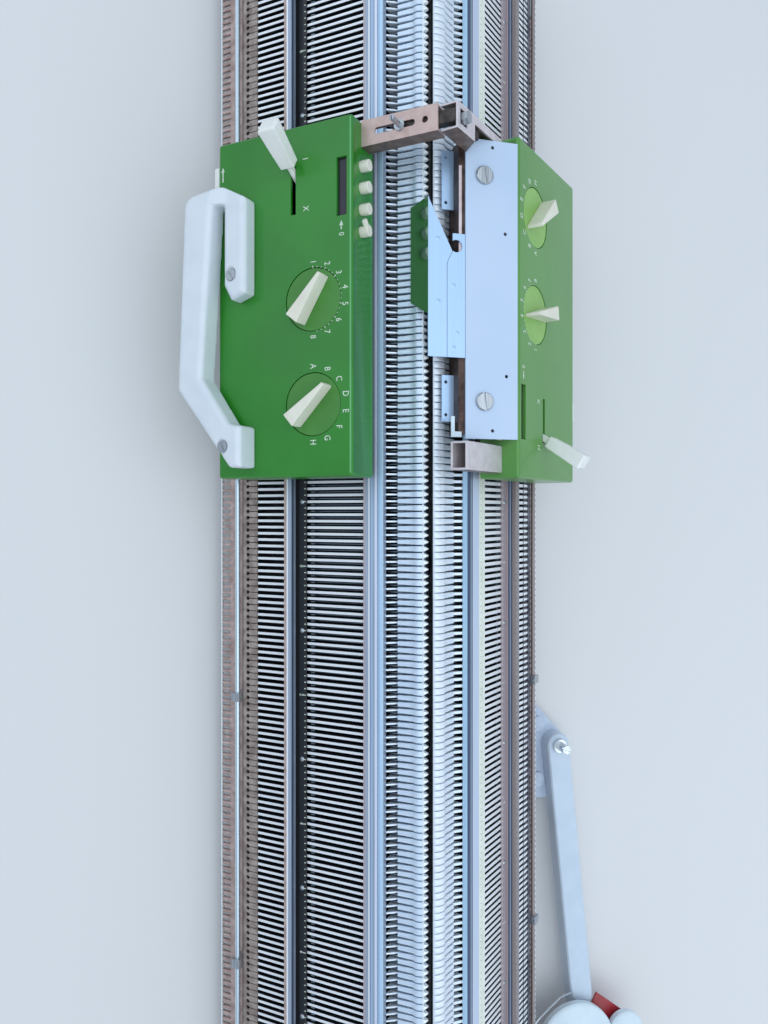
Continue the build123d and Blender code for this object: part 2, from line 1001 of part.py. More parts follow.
def bow_stub():
    """Short square tube at the free end, where the second bow goes."""
    half = stub_width / 2
    wall = bow_wall
    low = bow_top - bow_depth
    start = lock_start - stub_reach
    outer = slab(-stub_center - half, -stub_center + half, start, lock_start, low, bow_top)
    inner = slab(
        -stub_center - half + wall,
        -stub_center + half - wall,
        start - 1,
        lock_start + 1,
        low + wall,
        bow_top - wall,
    )
    return outer - inner


def bow_link():
    """Bent bar inside both halves, with its knee over the ridge."""
    high = bow_top - bow_wall - fit_gap
    low = high - link_depth
    outline = []
    for sign, arm in ((-1, link_front_end), (1, link_back_end)):
        ends = []
        for height in (high, low):
            side = arm * math.cos(slope) + height * math.sin(slope)
            level = -arm * math.sin(slope) + height * math.cos(slope)
            ends.append((sign * side, level))
        knee = [(0, low / math.cos(slope)), (0, high / math.cos(slope))]
        if sign < 0:
            outline += [ends[1], ends[0], knee[1]]
        else:
            outline += [ends[0], ends[1], knee[0]]
    half = link_width / 2
    return cross_section(outline, bow_center - half, bow_center + half)


def bow_screw():
    """Slotted stud that stands in the front half's slot and clamps the link."""
    low = bow_top - bow_wall - fit_gap
    high = bow_top + bow_screw_height
    stud = post_at(bow_center, lock_start - bow_screw_place, low, high, bow_screw_radius)
    washer = post_at(
        bow_center, lock_start - bow_screw_place, bow_top, bow_top + 1.2, bow_screw_radius + 2
    )
    cut = Pos(bow_center, bow_screw_place - lock_start, high) * Box(
        2 * bow_screw_radius + 2, 0.9, 3
    )
    return stud + washer - cut


def bow_nut():
    """Hexagon nut in the back half's window, seated on the link."""
    low = bow_top - bow_wall - fit_gap
    nut = extrude(RegularPolygon(nut_radius, 6), amount=nut_height)
    return Pos(-bow_center, nut_place - lock_start, low) * nut


# Cover plate, carrier and yarn guide, in lock-and-ridge terms


def cover_plate():
    middle_x = cover_start + cover_length / 2
    middle_y = (cover_inner + cover_outer) / 2
    width = cover_outer - cover_inner
    plate = Pos(middle_x, middle_y, cover_level - cover_thickness / 2) * Box(
        cover_length, width, cover_thickness
    )
    end = cover_start + cover_length
    lip_middle = (cover_inner + cover_lip_end) / 2
    lip = Pos(end - cover_thickness / 2, lip_middle, cover_level - cover_lip / 2) * Box(
        cover_thickness, cover_lip_end - cover_inner, cover_lip
    )
    plate += lip
    for place in (cover_screw_first, cover_screw_second):
        hole = Pos(place, cover_screw_place, cover_level) * Cylinder(cover_shank_radius + 0.2, 6)
        plate -= hole
    for x, y in cover_holes:
        plate -= Pos(x, y, cover_level) * Cylinder(cover_hole_radius, 6)
    return plate


def cover_screw(place):
    """Pan head with a slot, its shank down to the carrier's underside."""
    head = Pos(place, cover_screw_place, cover_level + cover_screw_height / 2) * Cylinder(
        cover_screw_radius, cover_screw_height
    )
    head = chamfer(head.edges().sort_by(Axis.Z)[-1], 0.7)
    low = cover_level - cover_thickness - carrier_thickness
    shank = Pos(place, cover_screw_place, (low + cover_level) / 2) * Cylinder(
        cover_shank_radius, cover_level - low
    )
    top = cover_level + cover_screw_height
    slot = Pos(place, cover_screw_place, top) * Rot(0, 0, 8) * Box(20, 1.5, 1.8)
    return head + shank - slot


def carrier():
    """Folded sheet under the cover: a web to the back lock's wall and a deep inner flange."""
    high = cover_level - cover_thickness
    low = high - carrier_thickness
    wall_at_high = wall_side(high) - 0.1
    wall_at_low = wall_side(low) - 0.1
    web = cross_section(
        [(carrier_inner, low), (carrier_inner, high), (wall_at_high, high), (wall_at_low, low)],
        carrier_web_start,
        carrier_web_end,
    )
    long_start = cover_start + 3
    long_end = cover_start + cover_length - 3
    flange = cross_section(
        [
            (carrier_inner, high - carrier_drop),
            (carrier_inner, high),
            (carrier_outer, high),
            (carrier_outer, low),
            (carrier_inner + carrier_thickness, low),
            (carrier_inner + carrier_thickness, high - carrier_drop),
        ],
        long_start,
        long_end,
    )
    tongue = Pos(
        (guide_tongue_start + guide_end - 2) / 2,
        (guide_tongue_edge + carrier_inner + 1) / 2,
        (high + low) / 2,
    ) * Box(
        guide_end - 2 - guide_tongue_start,
        carrier_inner + 1 - guide_tongue_edge,
        carrier_thickness,
    )
    body = web + flange + tongue
    for place in (cover_screw_first, cover_screw_second):
        body -= Pos(place, cover_screw_place, high) * Cylinder(cover_shank_radius + 0.2, 6)
    return body


def wall_side(level):
    """How far out the back lock's inner wall is at this level."""
    height = (level + lock_start * math.sin(slope)) / math.cos(slope)
    return lock_start * math.cos(slope) + height * math.sin(slope)


def flat_sheet(points, low, thickness):
    outline = make_face(Polyline(*[(x, y, low) for x, y in points], close=True))
    return extrude(outline, amount=thickness, dir=(0, 0, 1))


def yarn_guide():
    """Two flush sheets with a seam between them; the outer one has a polished flange."""
    low = cover_level - guide_thickness
    seam = guide_seam
    outer = flat_sheet(
        [
            (guide_start, guide_edge),
            (guide_shoulder, guide_shoulder_place),
            (guide_shoulder + 5, seam + 1.5),
            (guide_shoulder + 9, seam),
            (guide_end, seam),
            (guide_end, guide_edge),
        ],
        low,
        guide_thickness,
    )
    gap = 0.3
    inner = flat_sheet(
        [
            (guide_inner_start, guide_shoulder_place + gap),
            (guide_shoulder, guide_shoulder_place + gap),
            (guide_shoulder + 5, seam + 1.5 + gap),
            (guide_shoulder + 9, seam + gap),
            (guide_end, seam + gap),
            (guide_end, cover_inner - gap),
            (guide_inner_start, cover_inner - gap),
        ],
        low,
        guide_thickness,
    )
    notch = Pos(guide_notch_place, guide_notch_side, cover_level) * Cylinder(
        guide_notch_radius, 6
    )
    inner -= notch
    angle = math.radians(guide_flange_angle)
    drop_y = -guide_flange * math.cos(angle)
    drop_z = -guide_flange * math.sin(angle)
    corners = [
        (guide_start, guide_edge, cover_level),
        (guide_flange_end, guide_edge, cover_level),
        (guide_flange_end - 10.7, guide_edge + drop_y, cover_level + drop_z),
        (guide_start + 4.3, guide_edge + drop_y, cover_level + drop_z),
    ]
    normal = (0, math.sin(angle), -math.cos(angle))
    flange = extrude(make_face(Polyline(*corners, close=True)), amount=guide_thickness, dir=normal)
    return [outer + flange, inner]


def stripper_bar(start, end):
    """Bar beside the needle tips, with two screw holes, on the carrier's flange."""
    middle = (start + end) / 2
    width = carrier_inner - stripper_inner
    bar = Pos(middle, carrier_inner - width / 2, stripper_level) * Box(
        end - start, width, stripper_thickness
    )
    for place in (start + 5, end - 5):
        bar -= Pos(place, stripper_inner + 3, stripper_level) * Cylinder(1.2, 6)
    return bar


write("bow_front_half", on_front_lock(bow_front_half()))
write("bow_back_half", on_back_lock(bow_back_half()) - at_locks(cover_clearance()))
write("bow_stub", on_back_lock(bow_stub()))
write("bow_link", at_locks(bow_link()))
write("cover_plate", at_locks(cover_plate()))
write("cover_carrier", at_locks(carrier()))
write("yarn_guide", *[at_locks(sheet) for sheet in yarn_guide()])
write("stripper_bars", *[at_locks(stripper_bar(*ends)) for ends in stripper_ends])
write(
    "carriage_screws",
    on_front_lock(bow_screw()),
    on_back_lock(bow_nut()),
    at_locks(cover_screw(cover_screw_first)),
    at_locks(cover_screw(cover_screw_second)),
    *[on_front_lock(screw) for screw in handle_screws],
)


# Swing arm and tension head behind the back bed


def bracket():
    """Flat casting bolted under the back bed's edge, with two bosses and the arm's seat."""
    half = bracket_length / 2
    low = bracket_top - bracket_thickness
    plate = flat_sheet(
        [
            (bracket_place - half, bracket_inner),
            (bracket_place + half, bracket_inner),
            (bracket_place + half, bracket_outer - 12),
            (bracket_place + half - 16, bracket_outer),
            (bracket_place - 12, bracket_outer),
            (bracket_place - half, bracket_outer - 30),
        ],
        low,
        bracket_thickness,
    )
    lug = half_turn * bed_plane.location * slab(
        -bracket_place - half, half - bracket_place, lug_start, lug_end, lug_low, plate_bottom
    )
    for offset in (-half + 18, half - 18):
        boss = Pos(bracket_place + offset, boss_side, bracket_top + boss_height / 2)
        plate += boss * Cylinder(boss_radius, boss_height)
    hole = Pos(arm_pivot_place, arm_pivot_side, bracket_top)
    return plate + lug - hole * Cylinder(arm_pin_radius, 4 * bracket_thickness)


def in_arm(shape):
    """From arm terms, along the arm from its pivot, to the row's frame."""
    return Pos(arm_pivot_place, arm_pivot_side, 0) * Rot(0, 0, arm_turn) * shape


def swing_arm():
    low = bracket_top + fit_gap
    middle = low + arm_thickness / 2
    bar = Pos(arm_length / 2, 0, middle) * Box(arm_length, arm_width, arm_thickness)
    end = Pos(0, 0, middle) * Cylinder(arm_width / 2, arm_thickness)
    arm = bar + end
    arm = chamfer(arm.edges().group_by(Axis.Z)[-1], arm_edge)
    return arm - Pos(0, 0, middle) * Cylinder(arm_pin_radius + 0.05, arm_thickness + 2)


def arm_pin():
    """Slotted pin, fixed in the bracket, with a collar over the arm."""
    low = bracket_top - bracket_thickness
    high = bracket_top + arm_thickness + arm_pin_height
    collar_low = bracket_top + arm_thickness + 2 * fit_gap
    pin = Pos(0, 0, (low + high) / 2) * Cylinder(arm_pin_radius, high - low)
    collar = Pos(0, 0, collar_low + 1.5) * Cylinder(arm_pin_radius + 2.2, 3)
    slot = Pos(0, 0, high) * Rot(0, 0, 60) * Box(20, 1.4, 5)
    return pin + collar - slot


def tension_plate():
    low = bracket_top + fit_gap + arm_thickness
    outline = [(tension_start + x, y) for x, y in tension_outline]
    return flat_sheet(outline, low, tension_plate_thickness)


def tension_discs():
    """Two pairs of discs on posts: a large pair over the arm's end and a small pair outside."""
    low = bracket_top + fit_gap + arm_thickness + tension_plate_thickness
    discs = []
    for x, y, radius in disc_places:
        post = Pos(x, y, low + disc_stand / 2) * Cylinder(4, disc_stand)
        disc = Pos(x, y, low + disc_stand + disc_thickness / 2) * Cylinder(radius, disc_thickness)
        disc = chamfer(disc.edges().group_by(Axis.Z)[-1], disc_edge)
        discs.append(post + disc)
    return discs


def take_up_wire():
    """Bent wire from the tension plate to its eye over the bed's outer zone."""
    path = FilletPolyline(*wire_points, radius=wire_bend)
    start = Plane(origin=path.position_at(0), z_dir=path.tangent_at(0))
    return sweep(start * Circle(wire_radius), path=path)


write("arm_bracket", bracket())
write("swing_arm", in_arm(swing_arm()))
write("arm_pin", in_arm(arm_pin()))
write("tension_plate", in_arm(tension_plate()))
write("tension_discs", *[in_arm(disc) for disc in tension_discs()])
write("take_up_wire", take_up_wire())
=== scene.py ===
import json
import math

import bmesh
import bpy
import numpy as np
from mathutils import Matrix, Vector

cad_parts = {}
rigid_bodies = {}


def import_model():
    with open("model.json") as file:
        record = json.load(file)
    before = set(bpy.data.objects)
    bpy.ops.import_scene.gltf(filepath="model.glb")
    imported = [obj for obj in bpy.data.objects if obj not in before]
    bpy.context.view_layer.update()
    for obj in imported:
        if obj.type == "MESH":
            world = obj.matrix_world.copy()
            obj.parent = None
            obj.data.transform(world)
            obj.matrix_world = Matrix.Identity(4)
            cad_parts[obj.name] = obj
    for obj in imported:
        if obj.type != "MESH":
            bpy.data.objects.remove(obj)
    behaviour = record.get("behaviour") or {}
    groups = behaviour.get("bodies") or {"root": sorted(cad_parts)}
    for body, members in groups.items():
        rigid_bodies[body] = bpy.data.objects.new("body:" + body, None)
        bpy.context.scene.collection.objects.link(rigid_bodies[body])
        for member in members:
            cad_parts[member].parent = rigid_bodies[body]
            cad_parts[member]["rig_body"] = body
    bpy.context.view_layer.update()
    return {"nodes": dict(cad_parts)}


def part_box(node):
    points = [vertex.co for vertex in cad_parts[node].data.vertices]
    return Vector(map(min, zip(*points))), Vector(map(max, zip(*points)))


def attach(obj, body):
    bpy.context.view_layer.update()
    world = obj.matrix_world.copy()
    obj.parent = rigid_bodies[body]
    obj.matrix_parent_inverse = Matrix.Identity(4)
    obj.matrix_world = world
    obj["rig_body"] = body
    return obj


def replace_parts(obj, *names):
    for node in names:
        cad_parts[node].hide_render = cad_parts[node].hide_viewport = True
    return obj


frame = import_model()
mm = 0.001
print("frame loaded")

# The machine's own terms: x along the beds, t down the slope from the ridge, h up from the bed
machine = {
    "slope": math.radians(41.4),
    "ridgeHeight": 145.0,
    "halfLength": 545.0,
    "pitch": 5.0,
    "ribCount": 199,
    "needleCount": 180,
    "lockCenter": -193.0,
    "lockTop": 52.0,
}
slopeCos = math.cos(machine["slope"])
slopeSin = math.sin(machine["slope"])
bothSides = (("front", -1), ("back", 1))


def bedPoints(x, t, h, side):
    # side -1 is the front bed, +1 the back one; values in mm, result in metres
    x, t, h = np.broadcast_arrays(x, t, h)
    y = side * (t * slopeCos + h * slopeSin)
    z = machine["ridgeHeight"] - t * slopeSin + h * slopeCos
    return np.stack([x, y, z], -1) * mm


def lockPoints(x, t, h, side):
    # the same, with x counted from the lock's middle; the back lock is turned half round
    return bedPoints(machine["lockCenter"] - side * np.asarray(x, float), t, h, side)


def ridgePoints(x, y, z):
    # level terms: x from the lock's middle, z above the ridge
    x, y, z = np.broadcast_arrays(x, y, z)
    return np.stack([x + machine["lockCenter"], y, z + machine["ridgeHeight"]], -1) * mm


def slopeWays(side):
    # the direction down a bed's slope, and the one straight up from the bed
    return np.array([0, side * slopeCos, -slopeSin]), np.array([0, side * slopeSin, slopeCos])


def channelPlaces(count):
    # x of so many ribs or channels, a pitch apart and centred on the bed
    return (np.arange(count) - (count - 1) / 2) * machine["pitch"]


ribPlaces = channelPlaces(machine["ribCount"])
needlePlaces = channelPlaces(machine["needleCount"])

# how meshes are cleaned and eased, in mm and degrees
meshRules = {"mergeWithin": 0.004, "mergeLetters": 0.001, "flatWithin": 0.6, "bevelFrom": 32}


def makePiece(name, points, faces, material, body, slotName, smoothDegrees=None, bevel=0.0):
    # one mesh from an array of points and a list of faces, riding on a body of the frame
    mesh = bpy.data.meshes.new(name)
    mesh.from_pydata(np.asarray(points).reshape(-1, 3).tolist(), [], faces)
    work = bmesh.new()
    work.from_mesh(mesh)
    bmesh.ops.recalc_face_normals(work, faces=work.faces[:])
    work.to_mesh(mesh)
    work.free()
    return dressPiece(name, mesh, material, body, smoothDegrees, bevel)


def dressPiece(name, mesh, material, body, smoothDegrees, bevel):
    # the object round a mesh, with its finish, its edges and the body that it rides on
    piece = bpy.data.objects.new(name, mesh)
    bpy.context.scene.collection.objects.link(piece)
    mesh.materials.clear()
    mesh.materials.append(material)
    if bevel:
        edge = piece.modifiers.new("edges", "BEVEL")
        edge.width = bevel * mm
        edge.segments = 2
        edge.limit_method = "ANGLE"
        edge.angle_limit = math.radians(meshRules["bevelFrom"])
    if smoothDegrees:
        mesh.shade_smooth()
        mesh.set_sharp_from_angle(angle=math.radians(smoothDegrees))
    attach(piece, body)
    return piece


def loftFaces(rows, cols):
    # a closed tube: quads between one section and the next, and a face over each end
    row = np.arange(rows - 1)[:, None] * cols
    here = np.arange(cols)
    beside = (here + 1) % cols
    quads = np.stack([row + here, row + beside, row + cols + beside, row + cols + here], -1)
    ends = [list(range(cols)), list(range((rows - 1) * cols, rows * cols))]
    return quads.reshape(-1, 4).tolist() + ends


def repeatFaces(faces, count, step):
    # the same faces for each of count copies, whose points start a step apart
    return [[v + k * step for v in f] for k in range(count) for f in faces]


def slopeBars(xCenters, stations, chamfer, side):
    # bars side by side, each lofted down the slope through stations (t, half width, low, top);
    # a section is a flat-topped block with its two upper edges cut at 45 degrees
    t, half, low, top = np.array(stations, float).T
    across = np.stack([-half, -half, -half + chamfer, half - chamfer, half, half], -1)
    up = np.stack([low, top - chamfer, top, top, top - chamfer, low], -1)
    x = np.asarray(xCenters, float)[:, None, None] + across
    points = bedPoints(x, t[:, None], up, side)
    return points.reshape(-1, 3), repeatFaces(loftFaces(len(t), 6), len(xCenters), 6 * len(t))


def evenBars(xCenters, half, t0, t1, low, top, chamfer, side):
    # such bars with one section all the way from t0 to t1
    return slopeBars(xCenters, [(t0, half, low, top), (t1, half, low, top)], chamfer, side)


def longStrip(t0, t1, low, top, side, chamfer=0.04):
    # one bar as long as the bed
    return evenBars([0], machine["halfLength"], t0, t1, low, top, chamfer, side)


def ridgeBlock(x0, x1, y0, y1, z0, z1):
    # a plain block in ridge terms, one profile at each of its two ends
    x = np.repeat([x0, x1], 4)
    y = np.tile([y0, y1, y1, y0], 2)
    z = np.tile([z0, z0, z1, z1], 2)
    return ridgePoints(x, y, z), loftFaces(2, 4)


def domes(centers, along, up, radius, height, rings, sides):
    # low round heads, whose rings shrink as the cosine and rise as the sine of a quarter turn;
    # the last ring stops a little short of the pole and is closed flat
    angle = np.linspace(0, 2 * np.pi, sides, endpoint=False)
    lift = np.linspace(0, np.pi / 2 * 0.96, rings)[:, None]
    around = radius * np.cos(lift)
    shape = (
        (around * np.cos(angle))[..., None] * (1, 0, 0)
        + (around * np.sin(angle))[..., None] * along
        + (height * np.sin(lift))[..., None] * up
    )
    points = np.asarray(centers, float).reshape(-1, 1, 1, 3) + shape * mm
    faces = repeatFaces(loftFaces(rings, sides), len(points), rings * sides)
    return points.reshape(-1, 3), faces


def joinParts(parts):
    # several (points, faces) pairs as one
    points, faces, start = [], [], 0
    for p, f in parts:
        p = np.asarray(p).reshape(-1, 3)
        points.append(p)
        faces += [[v + start for v in face] for face in f]
        start += len(p)
    return np.concatenate(points), faces


def dressedCopy(node, material, bevel=0.3, smoothDegrees=30):
    # the frame's own solid with its triangles joined, flats made whole and edges eased
    source = frame["nodes"][node]
    work = bmesh.new()
    work.from_mesh(source.data)
    bmesh.ops.remove_doubles(work, verts=work.verts[:], dist=meshRules["mergeWithin"] * mm)
    flat = math.radians(meshRules["flatWithin"])
    bmesh.ops.dissolve_limit(work, angle_limit=flat, verts=work.verts[:], edges=work.edges[:])
    mesh = bpy.data.meshes.new(node)
    work.to_mesh(mesh)
    work.free()
    title = node.title().replace("_", "")
    name = title[0].lower() + title[1:]
    piece = dressPiece(name, mesh, material, source["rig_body"], smoothDegrees, bevel)
    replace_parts(piece, node)
    return piece


def softenSolid(piece, grain, rounds):
    # a moulded look: the solid is rebuilt in even grains of this many mm and its edges relax
    remesh = piece.modifiers.new("evenGrains", "REMESH")
    remesh.mode = "VOXEL"
    remesh.voxel_size = grain * mm
    remesh.use_smooth_shade = True
    relax = piece.modifiers.new("relaxedEdges", "SMOOTH")
    relax.factor = 0.5
    relax.iterations = rounds


def paintFaces(piece, material, chosen):
    # a second finish on the faces whose middle, in mm, and direction pass the test
    mesh = piece.data
    mesh.materials.append(material)
    for face in mesh.polygons:
        if chosen(face.center / mm, face.normal):
            face.material_index = len(mesh.materials) - 1


def linear(hexColour):
    # sRGB hex to linear light
    value = [int(hexColour[i : i + 2], 16) / 255 for i in (0, 2, 4)]
    value = [v / 12.92 if v <= 0.04045 else ((v + 0.055) / 1.055) ** 2.4 for v in value]
    return (*value, 1.0)


def addNode(tree, kind, settings=None, links=None):
    # one node with its sockets' values and links; a ramp's stops come as (place, colour)
    node = tree.nodes.new("ShaderNode" + kind)
    for key, value in (settings or {}).items():
        if key == "ramp":
            for index, (place, colour) in enumerate(value):
                ends = node.color_ramp.elements
                stop = ends[index] if index < 2 else ends.new(place)
                stop.position = place
                stop.color = colour
        else:
            node.inputs[key].default_value = value
    for key, source in (links or {}).items():
        tree.links.new(source, node.inputs[key])
    return node


def newMaterial(name, settings):
    # a material, its node tree and its shader, with the shader's own sockets set
    material = bpy.data.materials.new(name)
    material.use_nodes = True
    tree = material.node_tree
    shader = tree.nodes["Principled BSDF"]
    for key, value in settings.items():
        shader.inputs[key].default_value = value
    return material, tree, shader


def objectPlace(tree, scale=(1, 1, 1)):
    # object coordinates in metres, stretched where a pattern runs one way
    coordinates = addNode(tree, "TexCoord").outputs["Object"]
    return addNode(tree, "Mapping", {"Scale": scale}, {"Vector": coordinates}).outputs["Vector"]


def mottle(tree, place, grain, low, high, detail=3.0):
    # two colours mixed by soft noise whose patches are about grain mm wide
    noise = addNode(tree, "TexNoise", {"Scale": 1000 / grain, "Detail": detail}, {"Vector": place})
    stops = [(0.35, low), (0.65, high)]
    return addNode(tree, "ValToRGB", {"ramp": stops}, {"Fac": noise.outputs["Fac"]}).outputs["Color"]


def roughen(tree, shader, place, grain, low, high, bump):
    # roughness between two values and a matching bump, both from grain mm noise
    noise = addNode(tree, "TexNoise", {"Scale": 1000 / grain, "Detail": 4.0}, {"Vector": place})
    grainOut = noise.outputs["Fac"]
    spread = addNode(tree, "MapRange", {"To Min": low, "To Max": high}, {"Value": grainOut})
    tree.links.new(spread.outputs["Result"], shader.inputs["Roughness"])
    if bump:
        height = addNode(tree, "Bump", {"Strength": 0.6, "Distance": bump * mm}, {"Height": grainOut})
        tree.links.new(height.outputs["Normal"], shader.inputs["Normal"])


def drawnSteel(name, dark, light, lineAlong, roughness=(0.22, 0.42), metal=0.85):
    # Cold-drawn or ground steel: long fine lines one way give a soft streak of light across them
    material, tree, shader = newMaterial(name, {"Metallic": metal})
    # repeats in a metre: a line is about 0.4 mm wide, and 80 mm long or 70 mm down the slope
    stretch = {"x": (12, 2600, 2600), "slope": (2600, 14, 14)}[lineAlong]
    lines = addNode(tree, "TexNoise", {"Scale": 1.0, "Detail": 2.0}, {"Vector": objectPlace(tree, stretch)})
    lineOut = lines.outputs["Fac"]
    ramp = addNode(tree, "ValToRGB", {"ramp": [(0.3, linear(dark)), (0.7, linear(light))]}, {"Fac": lineOut})
    tree.links.new(ramp.outputs["Color"], shader.inputs["Base Color"])
    limits = {"To Min": roughness[0], "To Max": roughness[1]}
    spread = addNode(tree, "MapRange", limits, {"Value": lineOut})
    tree.links.new(spread.outputs["Result"], shader.inputs["Roughness"])
    return material


def sprayedEnamel(name, colour, shade):
    # Stoved spray enamel on pressed steel: an even semi-gloss skin with a faint orange peel
    material, tree, shader = newMaterial(name, {"IOR": 1.5, "Coat Weight": 0.25, "Coat Roughness": 0.12})
    place = objectPlace(tree)
    colourOut = mottle(tree, place, 60, linear(shade), linear(colour))
    tree.links.new(colourOut, shader.inputs["Base Color"])
    roughen(tree, shader, place, grain=1.6, low=0.26, high=0.4, bump=0.012)
    return material


def mouldedPlastic(name, colour, shade, roughness=(0.28, 0.42), glow=0.0):
    # Injection-moulded styrene or nylon: smooth, with a little dirt in broad patches;
    # glow is how much of the light goes in under the skin
    material, tree, shader = newMaterial(name, {"IOR": 1.49, "Subsurface Weight": glow})
    if glow:
        shader.inputs["Subsurface Radius"].default_value = (0.004, 0.003, 0.002)  # metres
    place = objectPlace(tree)
    colourOut = mottle(tree, place, 18, linear(shade), linear(colour))
    tree.links.new(colourOut, shader.inputs["Base Color"])
    roughen(tree, shader, place, 2.2, *roughness, bump=0.008)
    return material


def tarnishedPlate(name, dark, light, roughness=(0.3, 0.55), metal=0.7):
    # Old nickel plate gone brown: cloudy patches a few mm across over a dull sheen
    material, tree, shader = newMaterial(name, {"Metallic": metal})
    place = objectPlace(tree)
    colourOut = mottle(tree, place, 7, linear(dark), linear(light), detail=6.0)
    tree.links.new(colourOut, shader.inputs["Base Color"])
    roughen(tree, shader, place, 1.2, *roughness, bump=0.02)
    return material


def castPaint(name, colour, shade):
    # Sand-cast iron under paint, or moulded rubber: a dull, pebbled skin about 2 mm in grain
    material, tree, shader = newMaterial(name, {"IOR": 1.5})
    place = objectPlace(tree)
    tree.links.new(mottle(tree, place, 9, linear(shade), linear(colour)), shader.inputs["Base Color"])
    roughen(tree, shader, place, grain=2.0, low=0.45, high=0.65, bump=0.12)
    return material


def printedInk(name, colour):
    # Pad-printed ink: flat and pale, worn thin in small flecks
    material, tree, shader = newMaterial(name, {"IOR": 1.5})
    place = objectPlace(tree)
    worn = linear("B9CBB0")
    tree.links.new(mottle(tree, place, 1.2, worn, linear(colour)), shader.inputs["Base Color"])
    roughen(tree, shader, place, grain=1.0, low=0.45, high=0.6, bump=0)
    return material


